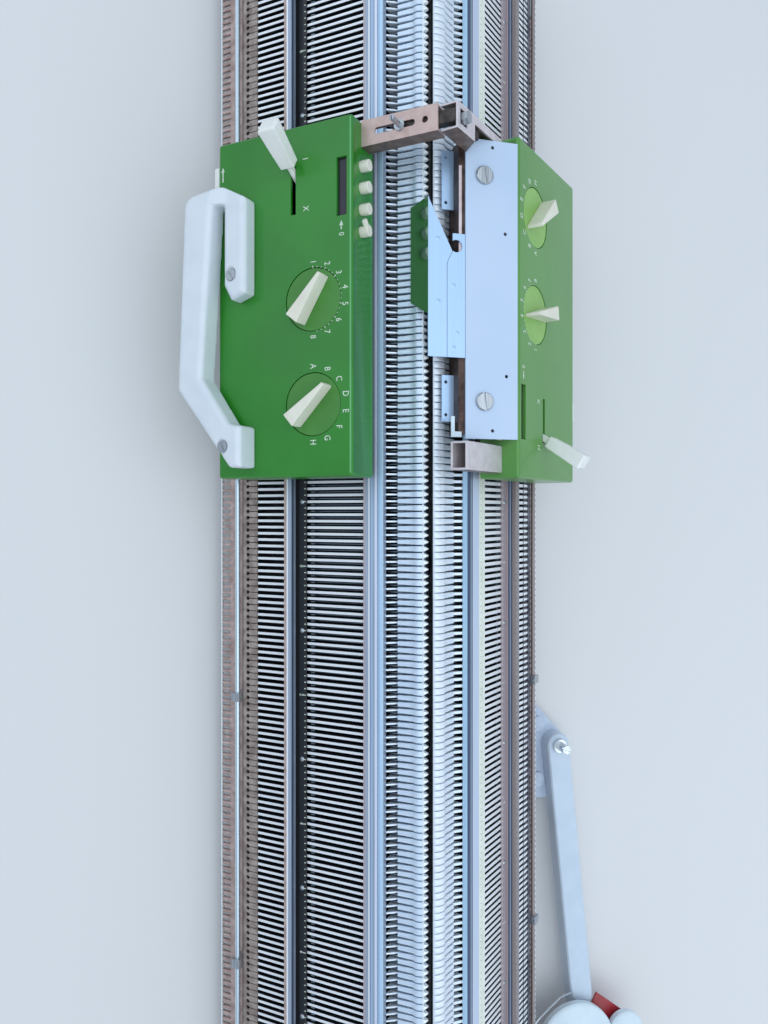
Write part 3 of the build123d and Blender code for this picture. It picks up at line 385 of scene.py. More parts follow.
# every finish by its use, with the two colours of its lines or its mottle
finish = {
    "ribSteel": drawnSteel("nickelledRibs", "EEF1F4", "FFFFFF", "slope", (0.3, 0.45), 0.35),
    # the ribs' sides are painted near black: painted shade between the ribs
    "ribFlank": drawnSteel("paintedShadeRibSides", "262A31", "4A5059", "slope", (0.45, 0.6)),
    "combSteel": drawnSteel("nickelledComb", "DDE9F4", "F6FBFF", "slope", (0.3, 0.45), 0.35),
    "frontSinker": drawnSteel("nickelledSinkers", "CFE2F6", "EEF7FF", "slope", (0.35, 0.5), 0.5),
    "backSinker": drawnSteel("whiteSinkers", "E1EAF5", "F6FAFC", "slope", (0.4, 0.55), 0.3),
    # oil and painted shade: the plate is near black, as the floor of the channels lies in shade
    "floorSteel": tarnishedPlate("oilAndShadeChannel", "15181D", "2B3037", (0.4, 0.6)),
    "endSteel": drawnSteel("groundEndSteel", "8E979F", "B4BCC3", "x", (0.35, 0.5), 0.6),
    "needleSteel": drawnSteel("needleSteel", "4A525A", "8C97A1", "slope", (0.3, 0.45)),
    "aluminium": drawnSteel("extrudedAluminium", "A9B6C8", "CAD7E6", "x", (0.35, 0.45), 0.7),
    "lockRail": drawnSteel("oiledRail", "55616F", "75828F", "x", (0.35, 0.5)),
    "railPink": drawnSteel("pinkGreyRail", "B5A3A6", "CDBFC0", "x", (0.4, 0.55), 0.5),
    "railGrey": drawnSteel("greyRail", "9DA9BC", "B9C5D6", "x", (0.35, 0.5), 0.6),
    "railBlue": drawnSteel("blueRail", "9EBBDD", "B9D1EB", "x", (0.35, 0.5), 0.4),
    "railCyan": drawnSteel("paleRail", "B4D8F0", "CDEAFB", "x", (0.35, 0.5), 0.3),
    "railPale": drawnSteel("whiteRail", "DDE3F6", "EDF1FD", "x", (0.35, 0.5), 0.3),
    "railLavender": drawnSteel("lavenderRail", "C6D2E9", "DAE3F3", "x", (0.35, 0.5), 0.4),
    # painted shade for the rails' grooves, dark faces and holes
    "railDark": drawnSteel("railGroove", "4A576F", "68778F", "x", (0.4, 0.55), 0.5),
    "darkBand": drawnSteel("greyBand", "948785", "AEA09C", "x", (0.4, 0.6), 0.4),
    "brightLine": drawnSteel("brightEdge", "E9F4F6", "FFFFFF", "x", (0.25, 0.4), 0.2),
    "edgeSteel": tarnishedPlate("brownedEdge", "A98E86", "CDB4AC", (0.4, 0.55), 0.3),
    "frontHeel": tarnishedPlate("brownedStrip", "8A7A72", "B3A49B", (0.4, 0.55), 0.3),
    "backHeel": tarnishedPlate("greyStrip", "4A4952", "85838C", (0.4, 0.6), 0.4),
    "blackStrip": sprayedEnamel("blackStripEnamel", "15171C", "101216"),
    "rod": drawnSteel("brightRod", "BFD0DC", "E6F0F6", "x", (0.15, 0.3)),
    "framePaint": castPaint("greyCastPaint", "9C9F9B", "868985"),
    "rubber": castPaint("blackRubber", "17181A", "0F1011"),
    "creamStrip": mouldedPlastic("creamStripPlastic", "F3F6EA", "E6EADC"),
    "holeShade": mouldedPlastic("holeShade", "7F887C", "6A7268"),
    "frontGreen": sprayedEnamel("greenEnamel", "2B8722", "277E1F"),
    # the back lock's enamel and dials are the front's green painted lighter: a painted sheen for the light
    # that they mirror
    "backGreen": sprayedEnamel("greenEnamelPaintedSheen", "5C9942", "55913D"),
    "frontDial": mouldedPlastic("greenDialPlastic", "4C8E3A", "478636"),
    "backDial": mouldedPlastic("lightGreenDialPlastic", "95C464", "8ABB5C"),
    # painted highlight along the front lock's upper edge
    "litEdge": sprayedEnamel("greenEdgePaintedHighlight", "6FC27E", "62B572"),
    "cream": mouldedPlastic("creamKnobPlastic", "F1ECDA", "E9E3CF", (0.3, 0.45), 0.05),
    "white": mouldedPlastic("whiteLeverPlastic", "F6F4EE", "F0EEE6", (0.25, 0.4), 0.03),
    "handleWhite": mouldedPlastic("handleNylon", "E3E8EC", "DDE3E8", (0.28, 0.4), 0.03),
    "bow": tarnishedPlate("brownedNickelBow", "C9ACA3", "D4BAB1", (0.3, 0.42), 0.3),
    "bowBack": tarnishedPlate("paleNickelBow", "D6CBCC", "E2D9DB", (0.3, 0.42), 0.3),
    # painted shade for the bow's faces that turn towards the right-hand end
    "bowShade": tarnishedPlate("bowFacesPaintedShade", "6E5B54", "8A766E", (0.35, 0.5), 0.3),
    "link": tarnishedPlate("darkLinkSteel", "3A3331", "57504C"),
    "cover": sprayedEnamel("paleBlueEnamel", "C5D6EB", "C0D2E8"),
    "carrier": tarnishedPlate("brownedCarrier", "3A2C28", "5C4A43"),
    "carrierEdge": tarnishedPlate("carrierEdge", "CDB9B9", "E3D2D2", (0.35, 0.5), 0.3),
    "guide": drawnSteel("brushedGuide", "AFCDEC", "BBD6F2", "x", (0.28, 0.36), 0.5),
    # tinted green: a painted reflection of the lock, over a real polished sheen
    "guideFlap": drawnSteel("mirrorFlap", "98B4A5", "A0BBAD", "x", (0.06, 0.1), 0.95),
    "screw": drawnSteel("zincScrew", "9A9FA3", "CDD1D4", "x", (0.2, 0.35)),
    "window": mouldedPlastic("smokedWindow", "2A2730", "201D26", (0.12, 0.2)),
    "bracket": castPaint("greyBracketPaint", "CBD6E6", "BCC8DA"),
    "arm": mouldedPlastic("armWhite", "CFDBE8", "C8D5E2", (0.25, 0.38), 0.03),
    "disc": mouldedPlastic("discWhite", "E1EEF4", "D9E7EE", (0.2, 0.3), 0.03),
    "pin": drawnSteel("brightPin", "B9BEC2", "ECEFF1", "x", (0.1, 0.2)),
    "red": sprayedEnamel("redEnamel", "A82A30", "9A242A"),
    "wire": drawnSteel("brightWire", "A8ACB0", "D8DBDE", "x", (0.15, 0.3)),
    "ink": printedInk("paleInk", "EDF3E6"),
}
print("materials made")

# The camera looks down on the beds with the machine's length upright in the picture
camera = {
    "place": (-0.042, -0.1887, 0.699),
    "tilt": math.radians(15.4),  # leans towards the back bed
    "lens": 28.125,
    "sensor": 36.0,
    "near": 0.02,
    "far": 20.0,
}
lensData = bpy.data.cameras.new("photoCamera")
lensData.lens = camera["lens"]
lensData.sensor_width = camera["sensor"]
lensData.clip_start = camera["near"]
lensData.clip_end = camera["far"]
viewer = bpy.data.objects.new("photoCamera", lensData)
bpy.context.scene.collection.objects.link(viewer)
right = Vector((0, math.cos(camera["tilt"]), math.sin(camera["tilt"])))
upward = Vector((-1, 0, 0))
backward = right.cross(upward)
turn = Matrix((right, upward, backward)).transposed().to_4x4()
viewer.matrix_world = Matrix.Translation(camera["place"]) @ turn
bpy.context.scene.camera = viewer

lampColour = (0.84, 0.93, 1.0)  # soft daylight from the north
lights = [
    {"name": "overhead", "place": (0.1, 0.1, 1.9), "aim": (0, 0, 0.1), "size": 2.4, "power": 16.0},
    {"name": "sideFill", "place": (-0.9, -1.3, 1.0), "aim": (-0.2, 0, 0.1), "size": 1.4, "power": 3.5},
    {"name": "backFill", "place": (0.9, 1.2, 1.1), "aim": (0.1, 0, 0.1), "size": 1.4, "power": 4.0},
]
for lamp in lights:
    lampData = bpy.data.lights.new(lamp["name"], "AREA")
    lampData.size = lamp["size"]
    lampData.energy = lamp["power"]
    lampData.color = lampColour
    lampObject = bpy.data.objects.new(lamp["name"], lampData)
    bpy.context.scene.collection.objects.link(lampObject)
    aim = Vector(lamp["aim"]) - Vector(lamp["place"])
    lampObject.location = lamp["place"]
    lampObject.rotation_euler = aim.to_track_quat("-Z", "Y").to_euler()

# the room's light by height, which the metal also mirrors: both ends first, then the stop between
room = {"strength": 0.77, "stops": [(0.0, "BFCBDB"), (1.0, "DDEBFA"), (0.4, "CBDCF2")]}
world = bpy.data.worlds.new("studio")
bpy.context.scene.world = world
world.use_nodes = True
roomTree = world.node_tree
roomLight = roomTree.nodes["Background"]
direction = addNode(roomTree, "TexCoord").outputs["Generated"]
heightOut = addNode(roomTree, "SeparateXYZ", None, {"Vector": direction}).outputs["Z"]
roomStops = [(place, linear(colour)) for place, colour in room["stops"]]
roomRamp = addNode(roomTree, "ValToRGB", {"ramp": roomStops}, {"Fac": heightOut})
roomTree.links.new(roomRamp.outputs["Color"], roomLight.inputs["Color"])
roomLight.inputs["Strength"].default_value = room["strength"]
bpy.context.scene.view_settings.view_transform = "Standard"

far = 3.0  # metres from the middle to each side of the floor
corners = [(-far, -far, 0), (far, -far, 0), (far, far, 0), (-far, far, 0)]
floorMesh = bpy.data.meshes.new("floor")
floorMesh.from_pydata(corners, [], [(0, 1, 2, 3)])
floor = bpy.data.objects.new("floor", floorMesh)
bpy.context.scene.collection.objects.link(floor)
floorFinish = {"Base Color": linear("E4E2E0"), "Roughness": 0.8}
floorMesh.materials.append(newMaterial("paleFloor", floorFinish)[0])
print("camera and light set")

# Needle beds: the plate, its ribs, the comb, the slotted edge and the plain ends beside the ribs
bedParts = {
    "plate": {"start": 3.8, "end": 180.2, "low": -3.0, "top": -0.5},
    "rib": {"start": 33.2, "end": 147.3, "low": -0.5, "top": 7.8, "crestLow": 7.5, "crestTop": 8.0},
    "comb": [(25.2, 1.6), (28.5, 4.2), (33.4, 7.8)],  # (t, top)
    "edge": {"start": 168.5, "slotStart": 180.4, "slotEnd": 189.0, "end": 190.0},
    "rung": {"half": 1.15, "lap": 0.5, "lift": 0.1},
    "ends": {"gap": 3.5, "start": 6.0, "end": 189.5, "low": -2.9, "top": 0.4},
}
# how far the upper edges of each kind of bar are cut away
edgeCut = {"plate": 0.1, "rung": 0.2, "line": 0.3, "flank": 0.2, "crest": 0.15, "comb": 0.15, "sinker": 0.35}
# what differs between the two beds: half widths, and sinkers as (t, half width, top)
bedSides = {
    "front": {
        "flank": 1.15,
        "crest": 1.02,
        "comb": 0.65,
        "sinker": [
            (5.2, 2.15, 3.4),
            (6.0, 2.1, 3.7),
            (8.5, 2.06, 4.7),
            (10.5, 2.02, 4.9),
            (12.3, 1.98, 4.3),
            (13.6, 1.94, 3.8),
            (17.0, 1.84, 4.1),
            (19.5, 1.72, 4.3),
            (25.2, 1.65, 4.8),
        ],
    },
    "back": {
        "flank": 1.45,
        "crest": 1.4,
        "comb": 1.05,
        "sinker": [
            (2.8, 2.14, 0.8),
            (3.4, 2.16, 1.8),
            (4.6, 2.16, 3.0),
            (8.5, 2.16, 4.7),
            (10.5, 2.15, 4.9),
            (13.0, 2.0, 4.2),
            (16.0, 1.9, 4.1),
            (19.5, 1.8, 4.3),
            (25.2, 1.7, 4.8),
        ],
    },
}


def bedPiece(name, finishName, parts, slotName="bed_steel", smoothDegrees=None):
    # a piece of the beds from several (points, faces) pairs
    return makePiece(name, *joinParts(parts), finish[finishName], "beds", slotName, smoothDegrees)


for sideName, side in bothSides:
    own = bedSides[sideName]
    plate, rib, edge, rung = (bedParts[part] for part in ("plate", "rib", "edge", "rung"))
    low, top, upper = plate["low"], plate["top"], plate["top"] + rung["lift"]
    # the plate is near black: oil and painted shade down in the channels
    sheet = longStrip(plate["start"], plate["end"], low, top, side, edgeCut["plate"])
    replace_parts(bedPiece(f"{sideName}BedPlate", "floorSteel", [sheet]), f"{sideName}_needle_bed")
    slots = (edge["slotStart"] - rung["lap"], edge["slotEnd"] + rung["lap"])
    rungs = evenBars(ribPlaces, rung["half"], *slots, low, top, edgeCut["rung"], side)
    inner = longStrip(edge["start"], edge["slotStart"], low + rung["lift"], upper, side, edgeCut["plate"])
    bedPiece(f"{sideName}SlottedEdge", "edgeSteel", [rungs, inner])
    line = longStrip(edge["slotEnd"], edge["end"], low, upper, side, edgeCut["line"])
    bedPiece(f"{sideName}EdgeLine", "brightLine", [line])
    reach = (rib["start"], rib["end"])
    # the flanks carry painted shade, the crests the bright steel
    flanks = evenBars(ribPlaces, own["flank"], *reach, rib["low"], rib["top"], edgeCut["flank"], side)
    bedPiece(f"{sideName}Ribs", "ribFlank", [flanks])
    crestCut = edgeCut["crest"]
    crests = evenBars(ribPlaces, own["crest"], *reach, rib["crestLow"], rib["crestTop"], crestCut, side)
    bedPiece(f"{sideName}RibCrests", "ribSteel", [crests])
    stations = [(t, own["comb"], rib["low"], combTop) for t, combTop in bedParts["comb"]]
    bedPiece(f"{sideName}Comb", "combSteel", [slopeBars(ribPlaces, stations, edgeCut["comb"], side)])
    stations = [(t, half, rib["low"], sinkerTop) for t, half, sinkerTop in own["sinker"]]
    sinkers = slopeBars(ribPlaces, stations, edgeCut["sinker"], side)
    bedPiece(f"{sideName}Sinkers", f"{sideName}Sinker", [sinkers], smoothDegrees=40)

# the plain ends fill what is left between the last rib and the end of the bed
ends = bedParts["ends"]
endMiddle = (ribPlaces[-1] + ends["gap"] + machine["halfLength"]) / 2
endHalf = machine["halfLength"] - endMiddle
for sideName, side in bothSides:
    section = (ends["start"], ends["end"], ends["low"], ends["top"])
    bars = evenBars([-endMiddle, endMiddle], endHalf, *section, edgeCut["rung"], side)
    bedPiece(f"{sideName}BedEnds", "endSteel", [bars])

# the throat: pointed teeth on the front bed under a bright line, and a floor on the back bed
throat = {
    "tooth": [(2.8, 0.45, 0.9), (3.6, 0.9, 2.2), (4.6, 1.4, 3.2), (5.4, 1.6, 3.5)],  # (t, half width, top)
    "toothLow": -0.5,
    "line": (4.9, 5.7, 3.35, 3.8),  # (t0, t1, low, top), as for the floor
    "floor": (3.0, 11.4, -0.6, 0.4),
}
stations = [(t, half, throat["toothLow"], top) for t, half, top in throat["tooth"]]
teeth = slopeBars(ribPlaces, stations, edgeCut["rung"], -1)
throatLine = longStrip(*throat["line"], -1, edgeCut["rung"])
bedPiece("frontThroatTeeth", "brightLine", [teeth, throatLine], smoothDegrees=40)
bedPiece("backNoseFloor", "backSinker", [longStrip(*throat["floor"], 1)])
print("beds made")

# Needles: a flat stem with a hook at its upper end and a butt near its lower end
needle = {
    # (t, half width, low, top)
    "stem": [(22.0, 0.35, -0.2, 1.9), (24.0, 0.5, -0.2, 2.4), (126.0, 0.5, -0.2, 2.4)],
    "hook": [(14.2, 0.2, 1.5, 2.9), (15.0, 0.22, 0.9, 3.2), (16.2, 0.22, 0.9, 1.8), (22.4, 0.3, 0.6, 1.8)],
    "latch": [(17.2, 0.25, 1.6, 2.4), (19.4, 0.3, 1.6, 2.6), (20.4, 0.3, 1.6, 2.3)],
    "butt": [(95.2, 0.55, 2.2, 7.0), (98.4, 0.55, 2.2, 7.0)],
}
needleCut = 0.12
for sideName, side in bothSides:
    parts = [slopeBars(needlePlaces, stations, needleCut, side) for stations in needle.values()]
    body = f"{sideName}_needle_row"
    row = makePiece(f"{sideName}NeedleRow", *joinParts(parts), finish["needleSteel"], body, "needle_steel")
    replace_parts(row, f"{sideName}_needles")
print("needles made")

# Rails and strips, with lines along them as (t0, t1, low, top): partly their own ground and painted lines,
# partly painted highlights and painted groove shade for their facets
railLines = {
    "frontRidgeRail": {
        "railPink": [(47.4, 48.9, 13.8, 14.06)],
        "railGrey": [(44.7, 47.4, 13.8, 14.06), (39.5, 41.3, 13.8, 14.06)],
        "brightLine": [(43.6, 44.7, 13.8, 14.1)],
        "railDark": [(43.0, 43.6, 13.8, 14.03), (37.2, 37.5, 13.8, 14.03)],
        "railBlue": [(41.3, 43.0, 13.8, 14.06), (35.3, 37.2, 13.8, 14.06)],
        "railPale": [(37.5, 39.5, 13.8, 14.08)],
        "railCyan": [(33.1, 35.3, 13.8, 14.06)],
    },
    "backRidgeRail": {
        "railCyan": [(32.82, 33.0, 8.2, 12.3)],
        "railDark": [(32.82, 33.0, 12.3, 14.0), (33.0, 35.0, 13.8, 14.03), (36.4, 38.2, 13.8, 14.03)],
        "railGrey": [(35.0, 36.4, 13.8, 14.06)],
        "railLavender": [(38.2, 48.9, 13.8, 14.06)],
    },
    "frontLockRail": {
        "edgeSteel": [(113.6, 115.9, 17.8, 18.06)],
        "brightLine": [(112.3, 113.6, 17.8, 18.1)],
        "railGrey": [(109.2, 112.3, 17.8, 18.06), (108.86, 109.0, 12.6, 15.4)],
        "railDark": [(108.86, 109.0, 15.5, 17.3)],
        "blackStrip": [(108.86, 109.0, 9.7, 12.5)],
    },
    "backLockRail": {
        "railPink": [(108.86, 109.0, 9.7, 11.2)],
        "railDark": [(108.86, 109.0, 11.2, 12.6), (108.86, 109.0, 13.8, 15.0)],
        "railGrey": [(108.86, 109.0, 12.7, 13.7), (115.1, 115.9, 17.8, 18.1)],
        "darkBand": [(108.86, 109.0, 15.1, 17.9), (109.0, 115.1, 17.8, 18.06)],
    },
}
for railName, finishes in railLines.items():
    side = -1 if railName.startswith("front") else 1
    slotName = "rail_aluminium" if "Ridge" in railName else "rail_steel"
    for finishName, lines in finishes.items():
        name = railName + finishName[0].upper() + finishName[1:]
        bedPiece(name, finishName, [longStrip(*values, side) for values in lines], slotName)
for sideName, side in bothSides:
    dressedCopy(f"{sideName}_ridge_rail", finish["aluminium"], 0.25)

# the heel strips: a slit over each channel that ends in a round hole, and a skirt along the edge
heel = {
    "start": 147.6,
    "end": 162.0,
    "low": 7.2,
    "top": 8.4,
    "slitHalf": 0.3,
    "holePlace": 156.9,
    "holeRadius": 1.55,
    "skirtWide": 1.2,
    "skirtLow": -0.5,
    "lap": 0.1,
    "slitCut": 0.1,
    "faceCut": 0.3,
    "skirtCut": 0.2,
}
holeStart = heel["holePlace"] - heel["holeRadius"]
holeEnd = heel["holePlace"] + heel["holeRadius"]
holeSteps = np.linspace(-1, 1, 7)[1:-1] * heel["holeRadius"] * 0.98  # just inside the round
holeRungs = machine["pitch"] / 2 - np.sqrt(heel["holeRadius"] ** 2 - holeSteps**2)
slitRung = machine["pitch"] / 2 - heel["slitHalf"]
rungStations = [(heel["start"], slitRung), (holeStart, slitRung)]
rungStations += zip(heel["holePlace"] + holeSteps, np.minimum(holeRungs, slitRung))
rungStations.append((holeEnd, slitRung))
stations = [(t, half, heel["low"], heel["top"]) for t, half in rungStations]
faceStart, skirtStart = holeEnd - heel["lap"], heel["end"] - heel["skirtWide"]
for sideName, side in bothSides:
    heelParts = [
        slopeBars(ribPlaces, stations, heel["slitCut"], side),
        longStrip(faceStart, heel["end"], heel["low"], heel["top"], side, heel["faceCut"]),
        longStrip(skirtStart, heel["end"], heel["skirtLow"], heel["top"], side, heel["skirtCut"]),
    ]
    strip = bedPiece(f"{sideName}HeelStrip", f"{sideName}Heel", heelParts, "heel_brown")
    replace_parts(strip, f"{sideName}_heel_strip")

# the back bed's strip catches the light in short bars, and so do the dashes by its rod
glints = {
    "bars": [(147.7, 1.15, 8.2, 8.5), (155.6, 0.75, 8.2, 8.5)],
    "dashes": [(165.6, 1.4, 11.3, 11.75), (166.5, 1.4, 11.3, 11.75)],
}
glintCut = 0.05
glintParts = [slopeBars(ribPlaces, stations, glintCut, 1) for stations in glints.values()]
bedPiece("backHeelGlints", "brightLine", glintParts, "heel_brown")

# the rails' own solids; on the back bed the number strip is pinkish and the rod grey
strips = dressedCopy("number_strips", finish["blackStrip"], 0.2)
paintFaces(strips, finish["railPink"], lambda place, normal: place[1] > 0)
dressedCopy("lock_rails", finish["lockRail"], 0.25)
rods = dressedCopy("long_rods", finish["rod"], 0.0)
paintFaces(rods, finish["darkBand"], lambda place, normal: place[1] > 0)
dressedCopy("rod_posts", finish["screw"], 0.3)
dressedCopy("bed_bars", finish["framePaint"], 0.4)

# the back bed's cream strip over the ribs, with two rows of small holes as (shift, t)
cream = {
    "start": 57.2,
    "end": 68.8,
    "low": 7.9,
    "base": 8.7,
    "lip": 65.4,
    "lipLow": 8.5,
    "lipTop": 9.3,
    "holeRows": [(0.0, 59.0), (2.5, 63.2)],
    "holeLevel": 8.68,
    "holeRadius": 0.75,
    "cut": 0.2,
}
railHole = {"t": 110.6, "level": 18.04, "radius": 1.0}
holeRise = 0.06  # a hole is drawn as a dark spot of painted shade that stands this little proud
creamParts = [
    longStrip(cream["start"], cream["end"], cream["low"], cream["base"], 1, cream["cut"]),
    longStrip(cream["lip"], cream["end"], cream["lipLow"], cream["lipTop"], 1, cream["cut"]),
]
bedPiece("backCreamStrip", "creamStrip", creamParts, "rail_aluminium")
holeRows = [bedPoints(ribPlaces + shift, t, cream["holeLevel"], 1) for shift, t in cream["holeRows"]]
creamHoles = domes(np.concatenate(holeRows), *slopeWays(1), cream["holeRadius"], holeRise, rings=2, sides=8)
bedPiece("backCreamStripHoles", "holeShade", [creamHoles], "rail_aluminium")
holeRow = bedPoints(ribPlaces, railHole["t"], railHole["level"], 1)
railHoles = domes(holeRow, *slopeWays(1), railHole["radius"], holeRise, rings=2, sides=8)
bedPiece("backLockRailHoles", "railDark", [railHoles], "rail_steel")

# rivets along the number strips
rivet = {"apart": 100.0, "last": 450.0, "t": 105.0, "level": 9.55, "radius": 2.0, "rise": 0.9}
rivetPlaces = np.arange(-rivet["last"], rivet["last"] + 1, rivet["apart"])
for sideName, side in bothSides:
    centers = bedPoints(rivetPlaces, rivet["t"], rivet["level"], side)
    heads = domes(centers, *slopeWays(side), rivet["radius"], rivet["rise"], rings=4, sides=14)
    bedPiece(f"{sideName}StripRivets", "screw", [heads], "black_strip", 40)
print("rails made")

# Printed marks: each letter is narrowed, and swollen a little so that it reads from far
lettering = {"thick": 0.08, "narrow": 0.8, "swell": 0.05, "clear": 0.02}


def readingWays(side):
    # right, up and out of the words on a bed, for a reader who stands on its side
    down, out = slopeWays(side)
    return np.array([-side, 0, 0]), -down, out


def textParts(words, size, place, side):
    # words as flat raised letters, centred on a place; their sheets are merged into solids
    curve = bpy.data.curves.new("words", "FONT")
    curve.body = words
    curve.size = size * mm
    curve.extrude = lettering["thick"] * mm / 2
    curve.align_x = "CENTER"
    curve.align_y = "CENTER"
    curve.resolution_u = 3
    curve.offset = lettering["swell"] * mm
    holder = bpy.data.objects.new("words", curve)
    bpy.context.scene.collection.objects.link(holder)
    mesh = bpy.data.meshes.new_from_object(holder.evaluated_get(bpy.context.evaluated_depsgraph_get()))
    bpy.data.objects.remove(holder)
    work = bmesh.new()
    work.from_mesh(mesh)
    bmesh.ops.remove_doubles(work, verts=work.verts[:], dist=meshRules["mergeLetters"] * mm)
    work.to_mesh(mesh)
    work.free()
    points = np.empty(3 * len(mesh.vertices), np.float32)
    mesh.vertices.foreach_get("co", points)
    faces = [list(face.vertices) for face in mesh.polygons]
    points = points.reshape(-1, 3) * (lettering["narrow"], 1, 1)
    return np.asarray(place, float) + points @ np.stack(readingWays(side)), faces


def barPart(place, across, along, width, length):
    # a flat printed dash: a rectangle round its place, and the same again at its thickness
    signs = np.array([(-1, -1), (1, -1), (1, 1), (-1, 1)])
    corners = signs * (width / 2, length / 2) @ np.stack([across, along])
    lift = np.array([0, lettering["thick"]])[:, None, None] * np.cross(across, along)
    return np.asarray(place, float) + (corners + lift) * mm, loftFaces(2, 4)


stripMarks = {
    "level": 9.62,
    "tickStart": 101.5,
    "tickLength": 1.3,
    "tickWidth": 0.7,
    "longEvery": 50.0,
    "longTimes": 1.8,
    "numberPlace": 105.4,
    "numberSize": 4.6,
    "numberEvery": 100.0,
}
for sideName, side in bothSides:
    rightWay, upWay = readingWays(side)[:2]
    level = stripMarks["level"]
    parts = []
    for x in needlePlaces - machine["pitch"] / 2:
        isLong = abs(x % stripMarks["longEvery"]) < 0.1
        length = stripMarks["tickLength"] * (stripMarks["longTimes"] if isLong else 1.0)
        place = bedPoints(x, stripMarks["tickStart"] + length / 2, level, side)
        parts.append(barPart(place, rightWay, upWay, stripMarks["tickWidth"], length))
    for step in range(-4, 5):
        place = bedPoints(step * stripMarks["numberEvery"], stripMarks["numberPlace"], level, side)
        parts.append(textParts(str(abs(step) * 2), stripMarks["numberSize"], place, side))
    bedPiece(f"{sideName}StripMarks", "ink", parts, "black_strip")

dialMarks = {
    "stitch": {"x": 0.0, "t": 69.5, "words": "12345678", "radius": 26.6, "size": 6.6, "ticks": 3},
    "letter": {"x": 74.5, "t": 69.5, "words": "ABCDEFGH", "radius": 27.0, "size": 6.8, "ticks": 0},
}
dialTick = {"inset": 3.6, "width": 0.5, "long": 1.6, "short": 0.8}
otherMarks = [
    {"front": "X", "back": "X", "x": -65.5, "t": 75.5, "size": 6.4},
    {"front": "0", "back": "0", "x": -43.0, "t": 46.5, "size": 6.0},
    {"front": "I", "back": "N", "x": -101.0, "t": 76.0, "size": 6.4},
]
# the arrow before the 0, and the long arrow beside the side slider
arrows = [{"start": -50.5, "end": -46.2, "t": 46.5}, {"start": -106.0, "end": -97.0, "t": 148.2}]
arrowShape = {"width": 0.9, "tip": -2.0, "back": 1.5, "half": 1.6, "thick": 0.04}


def roundDial(marks, angle, radius):
    # x and t at this angle round a dial, from 0 at its left to half a turn at its right
    return marks["x"] - radius * math.cos(angle), marks["t"] - radius * math.sin(angle)


for sideName, side in bothSides:
    rightWay, upWay, outWay = readingWays(side)
    level = machine["lockTop"] + lettering["clear"]
    parts = []
    for marks in dialMarks.values():
        gaps = len(marks["words"]) - 1
        for index, word in enumerate(marks["words"]):
            x, t = roundDial(marks, math.pi * index / gaps, marks["radius"])
            parts.append(textParts(word, marks["size"], lockPoints(x, t, level, side), side))
        for index in range(gaps * marks["ticks"]):
            angle = math.pi * index / (gaps * marks["ticks"])
            x, t = roundDial(marks, angle, marks["radius"] - dialTick["inset"])
            out = -math.cos(angle) * rightWay + math.sin(angle) * upWay
            length = dialTick["short"] if index % marks["ticks"] else dialTick["long"]
            place = lockPoints(x, t, level, side)
            parts.append(barPart(place, np.cross(out, outWay), out, dialTick["width"], length))
    for mark in otherMarks:
        place = lockPoints(mark["x"], mark["t"], level, side)
        parts.append(textParts(mark[sideName], mark["size"], place, side))
    for arrow in arrows:
        place = lockPoints((arrow["start"] + arrow["end"]) / 2, arrow["t"], level, side)
        length = arrow["end"] - arrow["start"]
        parts.append(barPart(place, rightWay, upWay, length, arrowShape["width"]))
        headX = arrow["start"] + np.array([arrowShape["tip"], arrowShape["back"], arrowShape["back"]])
        headT = arrow["t"] + np.array([0, -1, 1]) * arrowShape["half"]
        headLevel = level + np.array([0, arrowShape["thick"]])[:, None]
        parts.append((lockPoints(headX, headT, headLevel, side), loftFaces(2, 3)))
    makePiece(f"{sideName}LockMarks", *joinParts(parts), finish["ink"], "carriage", f"{sideName}_green")
print("marks made")

# Locks: the frame's solids with eased edges and their own finishes
for sideName, side in bothSides:
    enamel = finish[f"{sideName}Green"]
    dressedCopy(f"{sideName}_lock_cover", enamel, 0.0, smoothDegrees=35)
    dressedCopy(f"{sideName}_lock_base", finish["link"], 0.2)
    for dial in ("stitch", "letter"):
        dressedCopy(f"{sideName}_{dial}_dial", finish[f"{sideName}Dial"], 0.2)
        dressedCopy(f"{sideName}_{dial}_pointer", finish["cream"], 0.5)
    lever = dressedCopy(f"{sideName}_slot_lever", finish["white"], 0.0, smoothDegrees=60)
    softenSolid(lever, grain=0.5, rounds=3)
    for index in (1, 2, 3):
        dressedCopy(f"{sideName}_key_{index}", finish["cream"], 0.3)
    dressedCopy(f"{sideName}_turn_key", finish["cream"], 0.4)
    dressedCopy(f"{sideName}_side_slider", finish["white"], 0.3)
dressedCopy("cam_plates", finish["link"], 0.2)
dressedCopy("window_strips", finish["window"], 0.1)
handle = dressedCopy("handle", finish["handleWhite"], 0.0, smoothDegrees=60)
softenSolid(handle, grain=0.9, rounds=12)
# the bow's channels get painted shade, a darker brown, on the sides that face the right-hand end of the beds
for node, finishName in (("bow_front_half", "bow"), ("bow_back_half", "bowBack"), ("bow_stub", "bowBack")):
    channel = dressedCopy(node, finish[finishName], 0.4)
    paintFaces(channel, finish["bowShade"], lambda place, normal: normal[0] > 0.75)
dressedCopy("bow_link", finish["link"], 0.3)
dressedCopy("cover_plate", finish["cover"], 0.3)
dressedCopy("cover_carrier", finish["carrier"], 0.3)

# small trim on the carrier, as blocks (x0, x1, y0, y1, z0, z1) from the lock's middle and the ridge
carrierTrim = {
    "lip": [(-99.0, 35.0, 16.4, 18.6, 12.3, 12.58)],
    "tab": [(82.0, 97.0, 10.4, 13.2, 11.9, 12.9), (93.0, 97.0, 13.2, 18.4, 11.9, 12.9)],
    "tabBevel": 0.2,
}
lip = joinParts([ridgeBlock(*sides) for sides in carrierTrim["lip"]])
makePiece("carrierLip", *lip, finish["carrierEdge"], "carriage", "carrier_steel")
tab = joinParts([ridgeBlock(*sides) for sides in carrierTrim["tab"]])
makePiece("carrierTab", *tab, finish["disc"], "carriage", "carrier_steel", bevel=carrierTrim["tabBevel"])

